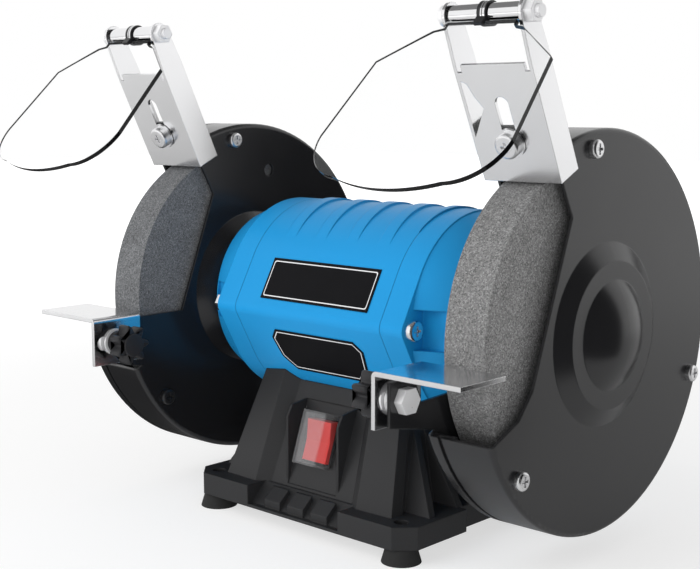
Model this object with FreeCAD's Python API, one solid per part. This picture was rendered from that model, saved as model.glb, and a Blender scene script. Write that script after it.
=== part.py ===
import FreeCAD, Part
import os
from math import acos, atan2, cos, degrees, radians, sin, sqrt, tan

# Bench grinder with two wheels on one motor shaft. Millimetres, Z up, X along the shaft, front towards -Y.
# The origin is on the bench, below the middle of the shaft.

V = FreeCAD.Vector
X_AXIS = V(1, 0, 0)
Y_AXIS = V(0, 1, 0)
Z_AXIS = V(0, 0, 1)
TINY = 0.001

# Fits
fit_gap = 0.1
bearing_gap = 0.02
slide_gap = 0.3

# Cross-slotted screw heads
crown_round = 1.2
cross_length = 4.6
cross_width = 1.1
cross_depth = 1.0

# Shaft line
shaft_height = 102.5
shaft_core_d = 18.0
shaft_end_d = 12.0
shaft_end_spare = 2.5

# Motor barrel
barrel_radius = 50.0
barrel_half = 47.0
barrel_wall = 4.0
ridge_height = 7.0
ridge_round = 6.0
fin_count = 5
fin_pitch = 20.0
fin_end_gap = 12.9
fin_width = 7.0
fin_height = 1.0
fin_fade = 2.0
fin_slant = 9.0

# End bells and tie bolts
bell_flange = 13.0
bell_cone = 15.0
bell_step = 0.6
bell_rim_radius = 43.5
bell_crown = 3.0
bell_neck_radius = 30.0
bell_neck = 10.4
bell_wall = 4.0
bell_pocket_length = 14.0
bell_pocket_height = 18.0
bell_pocket_inset = 8.0
tie_inset = 7.0
tie_d = 5.0
tie_head_d = 9.5
tie_head_h = 3.6
tie_nut_flats = 8.0
tie_nut_h = 4.0

# Bearings
bearing_bore = 15.0
bearing_od = 35.0
bearing_width = 11.0
bearing_lip = 3.0
bearing_sink = 2.0
bearing_ring = 2.2
bearing_ball_d = 5.2
bearing_balls = 8

# Stator and rotor
stack_half = 22.0
rotor_radius = 24.0
air_gap = 0.5
slot_count = 12
slot_width = 6.0
slot_depth = 11.0
slot_lip = 3.0
coil_overhang = 14.0

# Grinding wheels and their clamping
wheel_diameter = 150.0
wheel_width = 20.0
wheel_side_gap = 2.6
blotter_t = 0.5
blotter_margin = 1.5
flange_radius = 27.0
inner_flange_t = 1.5
outer_flange_t = 2.5
flange_relief_radius = 18.0
flange_relief = 0.8
wheel_nut_flats = 19.0
wheel_nut_h = 9.0

# Guards
guard_rim_gap = 13.0
guard_sheet = 1.5
guard_edge_round = 2.2
cover_side_gap = 7.0
lid_rim = 5.6
lid_edge_round = 2.0
lid_lip = 6.0
seam_gap = 2.0
post_inset = 7.5
post_radius = 3.4
post_first_angle = 99.5
post_count = 3
cover_screw_d = 4.0
cover_screw_head_d = 8.0
cover_screw_head_h = 3.0
cover_screw_length = 14.0
guard_hub_radius = 12.0
guard_screw_inset = 5.0
guard_screw_count = 4
guard_screw_d = 4.0
guard_screw_head_d = 7.5
guard_screw_head_h = 2.0
guard_screw_length = 9.0
sight_hole_radius = 3.2
sight_hole_inset = 24.0
sight_hole_angle = 79.0
boss_radius = 43.0
boss_top_radius = 32.0
boss_height = 4.0
seat_height = 6.0
dome_radius = 24.0
dome_height = 8.0
mouth_outline = [(118.14, 29.26), (196.98, 31.85), (203.23, 19.55), (203.31, -17.62)]
mouth_drop = 3.7
mouth_far = 60.0

# Tool rests
rest_sheet = 2.0
rest_width = 43.8
rest_depth = 27.8
rest_wheel_gap = 6.4
rest_drop = 4.6
rest_leg_length = 23.4
rest_bend_round = 2.4
rest_bolt_inset = 15.6
rest_bolt_drop = 12.6
rest_bolt_d = 6.0
rest_bolt_flats = 10.0
rest_bolt_head_h = 4.0
rest_slot_front = 7.0
rest_slot_back = 11.0
rest_spacer_d = 14.0
rest_spacer_t = 2.5
rest_washer_d = 13.0
rest_washer_t = 1.0
left_arm = [(53.0, 9.7), (-8.0, 9.7), (-8.0, -10.3), (13.0, -14.3), (45.0, -20.8)]
right_arm = [(49.0, -0.8), (11.0, -2.8), (7.0, 7.7), (-8.0, 7.7), (-8.0, -10.3), (13.0, -14.3), (45.0, -20.8)]

# Clamping knobs
knob_length = 13.4
knob_neck_d = 11.0
knob_head_length = 8.0
knob_core_radius = 7.2
knob_lobes = 7
knob_lobe_radius = 2.8
knob_face_radius = 6.0
knob_face_h = 0.8
knob_bolt_depth = 10.0

# Shield brackets
bracket_sheet = 1.5
bracket_tilt = 25.8
spark_gap = 2.0
spark_angle = 29.7
bracket_in_gap = 1.9
bracket_out_gap = 0.6
bracket_web = 52.0
bracket_depth = 11.5
ear_radius = 5.4
relief_width = 2.2
relief_depth = 3.4
web_notch = [(0.0, 20.0), (8.2, 33.1), (4.8, 38.3), (2.8, 43.8), (0.0, 45.0)]
tab_gap = 0.2
tab_sheet = 2.0
tab_low = 2.0
tab_high = 24.0
tab_side_gap = 3.0
bracket_slot_low = 11.0
bracket_slot_high = 38.0
bracket_screw_rise = 18.0
bracket_screw_d = 6.0
bracket_screw_head_d = 11.0
bracket_screw_head_h = 3.6
bracket_washer_d = 13.0
bracket_washer_t = 1.2
bracket_nut_flats = 10.0
bracket_nut_h = 5.0

# Shield hinges and shields
hinge_rise = 70.4
hinge_depth = 5.0
hinge_bolt_d = 5.0
hinge_head_d = 8.6
hinge_head_h = 2.6
hinge_nut_flats = 8.0
hinge_nut_h = 4.0
hinge_bolt_spare = 2.0
sleeve_d = 8.2
clip_width = 4.2
clip_radius = 5.0
clip_tongue_end = 7.8
clip_sheet = 1.6
shield_droop = 46.0
shield_sheet = 2.0
shield_side = [(16.6, 5.3), (16.6, 8.2), (21.5, 9.5), (24.4, 11.7), (41.8, 25.7), (45.5, 66.0)]
shield_corner = (40.0, 79.5)
shield_corner_end = (26.0, 86.5)
shield_length = 91.0

# Name plates
name_plate_t = 0.4
upper_plate_shift = 3.1
upper_plate_side = [(34.5, 5.95), (34.5, 24.4)]
lower_plate_shift = 2.1
lower_plate_side = [(21.0, -29.5), (27.8, -23.2), (29.6, -13.4), (25.2, -8.8)]

# Base
foot_height = 7.2
foot_top_d = 14.0
foot_bottom_d = 18.2
foot_inset_x = 9.9
foot_inset_y = 8.7
bench_hole_d = 6.5
plinth_half_x = 70.5
plinth_half_y = 65.1
plinth_height = 10.6
plinth_corner = 8.2
plinth_front_gap = 30.0
plinth_lip = 1.4
plinth_ledge = 3.0
plinth_ramp = 12.0
plinth_side_gap = 22.3
plinth_side_step = 4.0
step_block_width = 10.4
step_block_pitch = 15.5
step_block_inset = 2.5
step_block_depth = 6.5
step_block_height = 5.2
step_block_count = 3
pedestal_low_x = 52.5
pedestal_low_y = 52.0
pedestal_top_x = 43.0
pedestal_tuck = 16.3
pedestal_drop = 32.5
pilaster_low = [(-25.7, -4.0), (-25.7, 0.0), (-19.0, 4.7), (1.9, 4.0), (1.9, -4.0)]
pilaster_top = [(-20.5, -4.0), (-20.5, -1.2), (-13.4, 5.0), (1.0, 2.6), (1.0, -4.0)]
pilaster_drop = 29.0
gusset_inset = 4.0
gusset_top_z = 52.0
gusset_width = 4.0
gusset_row = 24.0
corner_rib_inset = 3.5
corner_rib_low_y = 44.6
corner_rib_top_y = 31.2
saddle_wall = 3.0
base_low_wall = 7.0
base_top_wall_x = 6.0
base_top_wall_y = 5.0
bottom_plate_t = 1.5
bottom_plate_margin = 4.0
bottom_screw_d = 3.5
bottom_screw_head_d = 6.5
bottom_screw_head_h = 1.8
bottom_screw_length = 8.0
housing_screw_x = 24.0
housing_screw_d = 4.0
housing_screw_head_d = 7.5
housing_screw_head_h = 3.0

# Switch in the sloped front wall
switch_inset = 0.6
switch_wall_z = 41.1
switch_recess_half_x = 16.0
switch_recess_low_z = 19.0
switch_recess_top_z = 58.5
cheek_t = 1.3
cheek_outline = [(1.0, 0.0), (1.0, 33.7), (4.2, 39.2), (14.3, 40.7), (17.3, 40.7), (3.0, 0.0)]
switch_cover_width = 20.0
switch_cover_height = 26.0
switch_cover_depth = 7.5
switch_cover_wall = 1.0
switch_bezel_t = 1.5
switch_body_width = 17.0
switch_body_height = 22.8
switch_body_depth = 16.0
rocker_width = 15.2
rocker_well = 21.4
rocker_pivot_sink = 1.5
rocker_outline = [(-10.2, -1.5), (10.2, -1.5), (9.8, 6.2), (0.0, 5.0), (-9.8, 6.2)]
rocker_tilt = 7.0
rocker_pin_d = 2.4

# Cable gland in the back wall
gland_z = 30.0
gland_boss_radius = 12.0
gland_boss_reach = 2.0
gland_radius = 7.5
gland_flange_radius = 9.5
gland_flange_t = 3.0
gland_bore_radius = 3.6
gland_length = 16.0

# Capacitor
capacitor_d = 28.0
capacitor_length = 46.0
capacitor_y = 14.0
clip_band_width = 12.0
clip_band_t = 1.0
clip_foot = 8.0

# Worked out from the sizes above
ridge_reach = barrel_radius + ridge_height
tie_reach = ridge_reach - tie_inset
bell_shoulder_radius = barrel_radius - bell_step
bell_pocket_floor = tie_reach - bell_pocket_inset
bell_edge_x = barrel_half + bell_flange
bell_rim_x = bell_edge_x + bell_cone
bell_neck_x = bell_rim_x + bell_crown
guard_seat_x = bell_neck_x + bell_neck
guard_face_x = guard_seat_x + seat_height
wheel_radius = wheel_diameter / 2
wheel_in_x = guard_face_x + guard_sheet + wheel_side_gap
wheel_out_x = wheel_in_x + wheel_width
guard_radius = wheel_radius + guard_rim_gap
post_circle_radius = guard_radius - post_inset
sight_hole_circle = guard_radius - sight_hole_inset
guard_screw_circle = bell_neck_radius - guard_screw_inset
blotter_radius = flange_radius + blotter_margin
cover_face_x = wheel_out_x + cover_side_gap + guard_sheet
guard_width = cover_face_x - guard_face_x
shoulder_x = wheel_in_x - blotter_t - inner_flange_t
nut_in_x = wheel_out_x + blotter_t + outer_flange_t
nut_out_x = nut_in_x + wheel_nut_h
shaft_end_x = nut_out_x + shaft_end_spare
bearing_out_x = bell_neck_x - bearing_lip
bearing_in_x = bearing_out_x - bearing_width
barrel_bore = barrel_radius - barrel_wall
stator_bore = rotor_radius + air_gap
tab_back = tab_gap + tab_sheet
spark_y = -(wheel_radius + spark_gap) * sin(radians(spark_angle))
spark_z = shaft_height + (wheel_radius + spark_gap) * cos(radians(spark_angle))
bracket_in_x = guard_face_x - bracket_in_gap - bracket_sheet
bracket_out_x = cover_face_x + bracket_out_gap + bracket_sheet
bracket_mid_x = (bracket_in_x + bracket_out_x) / 2
ridge_angle = degrees(acos(barrel_radius / ridge_reach))
plinth_top_z = foot_height + plinth_height
foot_x = plinth_half_x - foot_inset_x
foot_y = plinth_half_y - foot_inset_y
pedestal_top_y = barrel_radius - pedestal_tuck
pedestal_top_z = shaft_height - pedestal_drop
pilaster_top_z = shaft_height - pilaster_drop
gusset_reach_x = plinth_half_x - gusset_inset
gusset_share = (gusset_top_z - plinth_top_z) / (pedestal_top_z - plinth_top_z)
gusset_top_x = pedestal_low_x + (pedestal_top_x - pedestal_low_x) * gusset_share
corner_rib_x = plinth_half_x - corner_rib_inset
cavity_low_x = pedestal_low_x - base_low_wall
cavity_low_y = pedestal_low_y - base_low_wall
cavity_top_x = pedestal_top_x - base_top_wall_x
cavity_top_y = pedestal_top_y - base_top_wall_y
cavity_top_z = shaft_height - barrel_radius - fit_gap - saddle_wall
front_slope = atan2(pedestal_low_y - pedestal_top_y, pedestal_top_z - plinth_top_z)
switch_wall_y = switch_inset - pedestal_low_y + (switch_wall_z - plinth_top_z) * tan(front_slope)
gland_boss_y = pedestal_low_y + gland_boss_reach
rest_leg_x = guard_face_x - rest_spacer_t - fit_gap - rest_sheet
rest_reach_x = rest_leg_x + rest_width
rest_back_y = -wheel_radius - rest_wheel_gap
rest_front_y = rest_back_y - rest_depth
rest_top_z = shaft_height - rest_drop
rest_leg_bottom_z = rest_top_z - rest_leg_length
rest_bolt_y = rest_back_y - rest_bolt_inset
rest_bolt_z = rest_top_z - rest_bolt_drop
knob_end_x = rest_leg_x - rest_washer_t - knob_length


def box(x0, x1, y0, y1, z0, z1):
    """A block between two corners."""
    return Part.makeBox(x1 - x0, y1 - y0, z1 - z0, V(x0, y0, z0))


def rod_x(x0, x1, y, z, radius):
    """A round bar along X."""
    return Part.makeCylinder(radius, x1 - x0, V(x0, y, z), X_AXIS)


def on_shaft(x0, x1, radius):
    """A round bar on the shaft line."""
    return rod_x(x0, x1, 0, shaft_height, radius)


def ring_on_shaft(x0, x1, outer, inner):
    """A ring on the shaft line."""
    return on_shaft(x0, x1, outer).cut(on_shaft(x0, x1, inner))


def around_shaft(radius, angle):
    """Y and Z of a point on a circle about the shaft; the angle runs from +Y towards +Z."""
    return radius * cos(radians(angle)), shaft_height + radius * sin(radians(angle))


def plate_yz(points, x0, x1):
    """A flat outline in Y and Z, given thickness along X."""
    outline = [V(x0, y, z) for y, z in points]
    return Part.Face(Part.makePolygon(outline + outline[:1])).extrude(V(x1 - x0, 0, 0))


def plate_xy(points, z0, z1):
    """A flat outline in X and Y, given thickness along Z."""
    outline = [V(x, y, z0) for x, y in points]
    return Part.Face(Part.makePolygon(outline + outline[:1])).extrude(V(0, 0, z1 - z0))


def plate_xz(points, y0, y1):
    """A flat outline in X and Z, given thickness along Y."""
    outline = [V(x, y0, z) for x, z in points]
    return Part.Face(Part.makePolygon(outline + outline[:1])).extrude(V(0, y1 - y0, 0))


def hexagon_x(x0, x1, y, z, flats):
    """A hexagonal bar along X."""
    radius = flats / sqrt(3)
    corners = [radians(60 * k) for k in range(6)]
    return plate_yz([(y + radius * cos(a), z + radius * sin(a)) for a in corners], x0, x1)


def turned(points):
    """An outline in X and radius, spun about the shaft line."""
    outline = [V(x, 0, shaft_height + r) for x, r in points]
    face = Part.Face(Part.makePolygon(outline + outline[:1]))
    return face.revolve(V(0, 0, shaft_height), X_AXIS, 360)


def tapered(low, low_z, top, top_z):
    """A straight-sided body between two flat outlines in X and Y."""
    wires = []
    for points, z in ((low, low_z), (top, top_z)):
        outline = [V(x, y, z) for x, y in points]
        wires.append(Part.makePolygon(outline + outline[:1]))
    return Part.makeLoft(wires, True, True)


def rectangle(half_x, half_y):
    """Corners of a rectangle about the origin."""
    return [(-half_x, -half_y), (half_x, -half_y), (half_x, half_y), (-half_x, half_y)]


def fused(shapes):
    """Several shapes as one solid."""
    return shapes[0].multiFuse(shapes[1:]).removeSplitter()


def placed(shape, point, direction):
    """A shape made along Z at the origin, moved to a point and turned to a direction."""
    moved = shape.copy()
    moved.Placement = FreeCAD.Placement(point, FreeCAD.Rotation(Z_AXIS, direction)).multiply(shape.Placement)
    return moved


def to_left(shape):
    """The same shape on the left side."""
    return shape.mirror(V(0, 0, 0), X_AXIS)


def flip_y(shape):
    """The same shape on the other face, front or back."""
    return shape.mirror(V(0, 0, 0), Y_AXIS)


def pan_screw(point, direction, shank_d, length, head_d, head_h):
    """A screw with a rounded cross-slotted head; the direction points out of the head."""
    head = Part.makeCylinder(head_d / 2, head_h)
    crown = [e for e in head.Edges if isinstance(e.Curve, Part.Circle) and e.Curve.Center.z > TINY]
    head = head.makeFillet(crown_round, crown)
    for long_x, long_y in ((cross_length, cross_width), (cross_width, cross_length)):
        head = head.cut(box(-long_x / 2, long_x / 2, -long_y / 2, long_y / 2, head_h - cross_depth, head_h))
    shank = Part.makeCylinder(shank_d / 2, length, V(0, 0, -length))
    return placed(fused([head, shank]), point, direction)


def write(node, *solids):
    """Save one named sub-part, made of one solid or a group of like ones."""
    shape = solids[0] if len(solids) == 1 else Part.makeCompound(list(solids))
    shape.exportStep("parts/" + node + ".step")


# Motor


def housing_section(x0, x1, grow=0.0):
    """Round housing whose front and back run out to a rounded ridge at shaft height."""
    scale = (barrel_radius + grow) / barrel_radius
    radius = barrel_radius * scale
    y, rise = radius * cos(radians(ridge_angle)), radius * sin(radians(ridge_angle))
    outline = [(-y, shaft_height + rise), (-ridge_reach * scale, shaft_height), (-y, shaft_height - rise)]
    wedge = plate_yz(outline, x0, x1)
    nose = [e for e in wedge.Edges if abs(e.CenterOfMass.y + ridge_reach * scale) < TINY]
    wedge = wedge.makeFillet(ridge_round * scale, nose)
    return fused([on_shaft(x0, x1, radius), wedge, flip_y(wedge)])


def tie_holes(x0, x1):
    """The two long holes that the tie bolts run through."""
    return [rod_x(x0, x1, y, shaft_height, tie_d / 2 + fit_gap) for y in (-tie_reach, tie_reach)]


def motor_housing():
    """Barrel with slanted ribs over its crown, made in lengths with one rib each."""
    stops = [fin_end_gap + fin_pitch / 2 + k * fin_pitch - barrel_half for k in range(fin_count - 1)]
    stops = [-barrel_half] + stops + [barrel_half]
    lengths = [housing_section(x0, x1) for x0, x1 in zip(stops, stops[1:])]
    skin = rod_x(-barrel_half, barrel_half, 0, shaft_height + fin_fade + fin_height, barrel_radius - fin_fade)
    reach = barrel_radius + fin_height
    fins = []
    for k in range(fin_count):
        x = fin_end_gap - barrel_half + k * fin_pitch
        rib = box(-fin_width / 2, fin_width / 2, -2 * reach, 2 * reach, shaft_height, shaft_height + reach)
        rib = rib.rotated(V(0, 0, 0), Z_AXIS, fin_slant).translated(V(x, 0, 0))
        fins.append(rib.common(skin))
    solid = lengths[0].multiFuse(lengths[1:] + fins).cut(on_shaft(-barrel_half, barrel_half, barrel_bore))
    for hole in tie_holes(-barrel_half, barrel_half):
        solid = solid.cut(hole)
    for screw_hole in housing_screw_bars(housing_screw_d / 2 + fit_gap):
        solid = solid.cut(screw_hole)
    return solid


def housing_screw_bars(radius):
    """Upright bars through the saddle into the barrel wall, where the housing screws go."""
    top = shaft_height - barrel_bore
    bars = []
    for x in (-housing_screw_x, housing_screw_x):
        bars.append(Part.makeCylinder(radius, top - cavity_top_z, V(x, 0, cavity_top_z)))
    return bars


def housing_screws():
    """Screws from inside the base up into the barrel wall."""
    length = shaft_height - barrel_bore - cavity_top_z - fit_gap
    screws = []
    for x in (-housing_screw_x, housing_screw_x):
        screws.append(pan_screw(V(x, 0, cavity_top_z), V(0, 0, -1), housing_screw_d, length,
                                housing_screw_head_d, housing_screw_head_h))
    return screws


def end_bell():
    """Right end bell: flange, cone, and a solid end that holds the bearing and the guard."""
    nose_x = bearing_in_x - bearing_sink
    cone = turned([(bell_edge_x, 0), (bell_edge_x, bell_shoulder_radius), (bell_rim_x, bell_rim_radius),
                   (bell_neck_x, bell_neck_radius), (guard_seat_x, bell_neck_radius), (guard_seat_x, 0)])
    solid = fused([housing_section(barrel_half, bell_edge_x), cone])
    solid = solid.cut(on_shaft(barrel_half, nose_x, bell_pocket_floor - bell_wall))
    solid = solid.cut(on_shaft(nose_x, bearing_out_x, bearing_od / 2 + bearing_gap))
    solid = solid.cut(on_shaft(nose_x, guard_seat_x, shaft_core_d / 2 + slide_gap))
    half = bell_pocket_height / 2
    for side in (-1, 1):
        y0, y1 = sorted((side * bell_pocket_floor, side * ridge_reach))
        solid = solid.cut(box(bell_edge_x, bell_edge_x + bell_pocket_length, y0, y1,
                              shaft_height - half, shaft_height + half))
    for hole in tie_holes(barrel_half, bell_edge_x):
        solid = solid.cut(hole)
    for y, z in guard_screw_points():
        length = guard_screw_length + fit_gap
        solid = solid.cut(rod_x(guard_seat_x - length, guard_seat_x, y, z, guard_screw_d / 2 + fit_gap))
    return solid


def tie_bolts():
    """Two long bolts with domed heads on the right end."""
    bolts = []
    for y in (-tie_reach, tie_reach):
        bolts.append(pan_screw(V(bell_edge_x, y, shaft_height), X_AXIS, tie_d,
                               2 * bell_edge_x + tie_nut_h, tie_head_d, tie_head_h))
    return bolts


def tie_nuts():
    """Hexagon nuts on the left ends of the tie bolts."""
    nuts = []
    for y in (-tie_reach, tie_reach):
        x0, x1 = -bell_edge_x - tie_nut_h, -bell_edge_x
        nut = hexagon_x(x0, x1, y, shaft_height, tie_nut_flats)
        nuts.append(nut.cut(rod_x(x0, x1, y, shaft_height, tie_d / 2 + fit_gap)))
    return nuts


def winding_slots(slack):
    """Radial slots that open to the bore, or the copper that lies in them."""
    bars = []
    outer = stator_bore + slot_lip + slot_depth - slack
    for k in range(slot_count):
        bar = box(-stack_half, stack_half, -slot_width / 2 + slack, slot_width / 2 - slack,
                  shaft_height + stator_bore + slot_lip + slack, shaft_height + outer)
        bars.append(bar.rotated(V(0, 0, shaft_height), X_AXIS, 360 * k / slot_count))
    return bars


def stator_core():
    """Laminated ring with winding slots."""
    core = ring_on_shaft(-stack_half, stack_half, barrel_bore - fit_gap, stator_bore)
    for slot in winding_slots(0):
        core = core.cut(slot)
    return core


def stator_windings():
    """Copper in the slots, joined by the end turns."""
    outer = stator_bore + slot_lip + slot_depth - fit_gap
    inner = stator_bore + slot_lip + fit_gap
    turns = [
        ring_on_shaft(stack_half, stack_half + coil_overhang, outer, inner),
        ring_on_shaft(-stack_half - coil_overhang, -stack_half, outer, inner),
    ]
    return fused(turns + winding_slots(fit_gap))


def rotor_core():
    """Laminated rotor on the shaft."""
    return ring_on_shaft(-stack_half, stack_half, rotor_radius, shaft_core_d / 2 + bearing_gap)


def rotor_shaft():
    """Stepped shaft: core, bearing seats, wheel seats."""
    core = shaft_core_d / 2
    seat = bearing_bore / 2 - bearing_gap
    end = shaft_end_d / 2
    steps = [(bearing_in_x, core), (bearing_in_x, seat), (shoulder_x, seat), (shoulder_x, end),
             (shaft_end_x, end)]
    right = steps + [(shaft_end_x, 0)]
    left = [(-x, r) for x, r in reversed(right)]
    return turned(left + right)


def bearing_pair(make):
    """One bearing piece on each side."""
    right = make()
    return [right, to_left(right)]


def bearing_outer_ring():
    """Outer race, seated in the end bell."""
    return ring_on_shaft(bearing_in_x, bearing_out_x, bearing_od / 2, bearing_od / 2 - bearing_ring)


def bearing_inner_ring():
    """Inner race, seated on the shaft."""
    return ring_on_shaft(bearing_in_x, bearing_out_x, bearing_bore / 2 + bearing_ring, bearing_bore / 2)


def bearing_ball_set():
    """Balls that run on the inner races."""
    x = (bearing_in_x + bearing_out_x) / 2
    circle = bearing_bore / 2 + bearing_ring + fit_gap + bearing_ball_d / 2
    balls = []
    for side in (-1, 1):
        for k in range(bearing_balls):
            y, z = around_shaft(circle, 360 * k / bearing_balls)
            balls.append(Part.makeSphere(bearing_ball_d / 2, V(side * x, y, z)))
    return balls


def name_plate(shift, side):
    """A thin plate on the front of the barrel, with one side's outline in X and height over the shaft."""
    shell = housing_section(-barrel_half, barrel_half, name_plate_t)
    shell = shell.cut(housing_section(-barrel_half, barrel_half))
    outline = [(shift + x, shaft_height + z) for x, z in side]
    outline += [(shift - x, shaft_height + z) for x, z in reversed(side)]
    return shell.common(plate_xz(outline, -2 * ridge_reach, 0))


def upper_name_plate():
    """Plain rectangular plate."""
    return name_plate(upper_plate_shift, upper_plate_side)


def lower_name_plate():
    """Plate with cut corners."""
    return name_plate(lower_plate_shift, lower_plate_side)


# Wheels


def grinding_wheel():
    """Right abrasive wheel."""
    return ring_on_shaft(wheel_in_x, wheel_out_x, wheel_radius, shaft_end_d / 2 + fit_gap)


def inner_flange():
    """Clamping flange on the shaft shoulder, relieved round the bore."""
    solid = ring_on_shaft(shoulder_x, shoulder_x + inner_flange_t, flange_radius, shaft_end_d / 2 + fit_gap)
    x = shoulder_x + inner_flange_t
    return solid.cut(on_shaft(x - flange_relief, x, flange_relief_radius))


def outer_flange():
    """Clamping flange under the nut, relieved round the bore."""
    x = wheel_out_x + blotter_t
    solid = ring_on_shaft(x, x + outer_flange_t, flange_radius, shaft_end_d / 2 + fit_gap)
    return solid.cut(on_shaft(x, x + flange_relief, flange_relief_radius))


def blotters():
    """Paper discs on both faces of the right wheel."""
    bore = shaft_end_d / 2 + fit_gap
    return [
        ring_on_shaft(wheel_in_x - blotter_t, wheel_in_x, blotter_radius, bore),
        ring_on_shaft(wheel_out_x, wheel_out_x + blotter_t, blotter_radius, bore),
    ]


def wheel_nut():
    """Hexagon nut that holds the right wheel."""
    nut = hexagon_x(nut_in_x, nut_out_x, 0, shaft_height, wheel_nut_flats)
    return nut.cut(on_shaft(nut_in_x, nut_out_x, shaft_end_d / 2 + fit_gap))


# Shield bracket frame: rise runs up the web, depth runs behind it, from the spark edge near the wheel


def on_bracket(rise, depth):
    """Y and Z of a point given by its rise and depth on the bracket."""
    lean = radians(bracket_tilt)
    return spark_y - rise * sin(lean) + depth * cos(lean), spark_z + rise * cos(lean) + depth * sin(lean)


def bracket_plate(points, x0, x1):
    """A flat outline in rise and depth, given thickness along X."""
    return plate_yz([on_bracket(rise, depth) for rise, depth in points], x0, x1)


def bracket_block(x0, x1, rise0, rise1, depth0, depth1):
    """A block lined up with the bracket."""
    return bracket_plate([(rise0, depth0), (rise1, depth0), (rise1, depth1), (rise0, depth1)], x0, x1)


def bracket_bar(rise, depth0, depth1, radius):
    """A round bar square to the web."""
    y, z = on_bracket(rise, depth0)
    lean = radians(bracket_tilt)
    return Part.makeCylinder(radius, depth1 - depth0, V(bracket_mid_x, y, z), V(0, cos(lean), sin(lean)))


# Guards


def drum(x0, x1, radius, round_x, edge_round):
    """A round body on the shaft line with one rounded edge."""
    body = on_shaft(x0, x1, radius)
    circles = [e for e in body.Edges if isinstance(e.Curve, Part.Circle)]
    return body.makeFillet(edge_round, [e for e in circles if abs(e.Curve.Center.x - round_x) < TINY])


def post_points():
    """Where the screws that join the guard halves go."""
    step = 360 / post_count
    return [around_shaft(post_circle_radius, post_first_angle - step * k) for k in range(post_count)]


def guard_screw_points():
    """Where the screws that hold the guard to the end bell go."""
    step = 360 / guard_screw_count
    return [around_shaft(guard_screw_circle, step * (k + 0.5)) for k in range(guard_screw_count)]


def guard_mouth():
    """The front opening of the guard, cut right across it."""
    low = on_bracket(-mouth_drop, tab_back)
    high = on_bracket(mouth_far, tab_back)
    outline = [around_shaft(guard_radius - inset, angle) for angle, inset in mouth_outline]
    far_y = -2 * guard_radius
    points = [high, low] + outline + [(far_y, outline[-1][1]), (far_y, high[1])]
    return plate_yz(points, guard_face_x - guard_width, cover_face_x + guard_width)


def pan(at_cover):
    """The deep half of a guard, closed on the cover side or on the motor side."""
    deep = guard_width - lid_rim - seam_gap
    face = cover_face_x if at_cover else guard_face_x
    back = face - deep if at_cover else face + deep
    floor = face - guard_sheet if at_cover else face + guard_sheet
    outer = drum(min(face, back), max(face, back), guard_radius, face, guard_edge_round)
    inner = drum(min(floor, back), max(floor, back), guard_radius - guard_sheet, floor,
                 guard_edge_round - guard_sheet)
    solid = outer.cut(inner)
    for y, z in post_points():
        hole = rod_x(min(face, floor), max(face, floor), y, z, cover_screw_d / 2 + fit_gap)
        solid = solid.cut(hole)
    return solid


def lid(at_cover):
    """The shallow half of a guard, with a lip inside the deep half and posts for the screws."""
    step = -1 if at_cover else 1
    face = cover_face_x if at_cover else guard_face_x
    floor = face + step * guard_sheet
    rim = face + step * lid_rim
    lip = rim + step * (seam_gap + lid_lip)
    far = face + step * (guard_width - guard_sheet - fit_gap)
    lip_radius = guard_radius - guard_sheet - fit_gap
    body = fused([
        drum(min(face, rim), max(face, rim), guard_radius, face, lid_edge_round),
        on_shaft(min(rim, lip), max(rim, lip), lip_radius),
    ])
    solid = body.cut(on_shaft(min(floor, lip), max(floor, lip), lip_radius - guard_sheet))
    posts = [rod_x(min(floor, far), max(floor, far), y, z, post_radius) for y, z in post_points()]
    solid = fused([solid] + posts)
    for y, z in post_points():
        hole = rod_x(min(floor, far), max(floor, far), y, z, cover_screw_d / 2 + fit_gap)
        solid = solid.cut(hole)
    return solid


def seat_bulge(grow):
    """The coned boss by which the guard sits on the end bell, or the hollow inside it."""
    low_x, top_x = guard_face_x + guard_sheet, guard_seat_x - grow
    return turned([(low_x, 0), (low_x, boss_radius + grow), (top_x, boss_top_radius + grow), (top_x, 0)])


def inner_guard(half, arm_points):
    """The guard half on the motor side: it carries the tool rest's arm and the bracket's tab."""
    back_x = guard_face_x + guard_sheet
    arm = plate_yz([(rest_bolt_y + y, rest_bolt_z + z) for y, z in arm_points], guard_face_x, back_x)
    ear = bracket_block(guard_face_x, back_x, tab_low, tab_high, tab_gap, bracket_depth)
    tab = bracket_block(guard_face_x, cover_face_x - tab_side_gap, tab_low, tab_high, tab_gap, tab_back)
    solid = fused([half.cut(guard_mouth()), arm, ear, tab, seat_bulge(0)]).cut(seat_bulge(-guard_sheet))
    solid = solid.cut(on_shaft(guard_seat_x, back_x, guard_hub_radius))
    solid = solid.cut(rod_x(guard_face_x, back_x, rest_bolt_y, rest_bolt_z, rest_bolt_d / 2 + fit_gap))
    y, z = around_shaft(sight_hole_circle, sight_hole_angle)
    solid = solid.cut(rod_x(guard_face_x, back_x, y, z, sight_hole_radius))
    for y, z in guard_screw_points():
        solid = solid.cut(rod_x(guard_seat_x, back_x, y, z, guard_screw_d / 2 + fit_gap))
    return solid.cut(bracket_bar(bracket_screw_rise, tab_gap, tab_back, bracket_screw_d / 2 + fit_gap))


def hub_bulge(grow, x0):
    """The coned boss and dome on the cover, or the hollow inside it."""
    top_x = cover_face_x + boss_height + grow
    cone = turned([(x0, 0), (x0, boss_radius + grow), (top_x, boss_top_radius + grow), (top_x, 0)])
    ball_radius = (dome_radius ** 2 + dome_height ** 2) / (2 * dome_height)
    centre_x = cover_face_x + boss_height + dome_height - ball_radius
    ball = Part.makeSphere(ball_radius + grow, V(centre_x, 0, shaft_height))
    return fused([cone, ball.common(on_shaft(x0, centre_x + ball_radius + grow, boss_top_radius + grow))])


def outer_cover(half):
    """The guard half on the outer side, with the bulge over the wheel nut."""
    floor = cover_face_x - guard_sheet
    solid = fused([half, hub_bulge(0, floor)]).cut(hub_bulge(-guard_sheet, floor))
    return solid.cut(guard_mouth())


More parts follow.
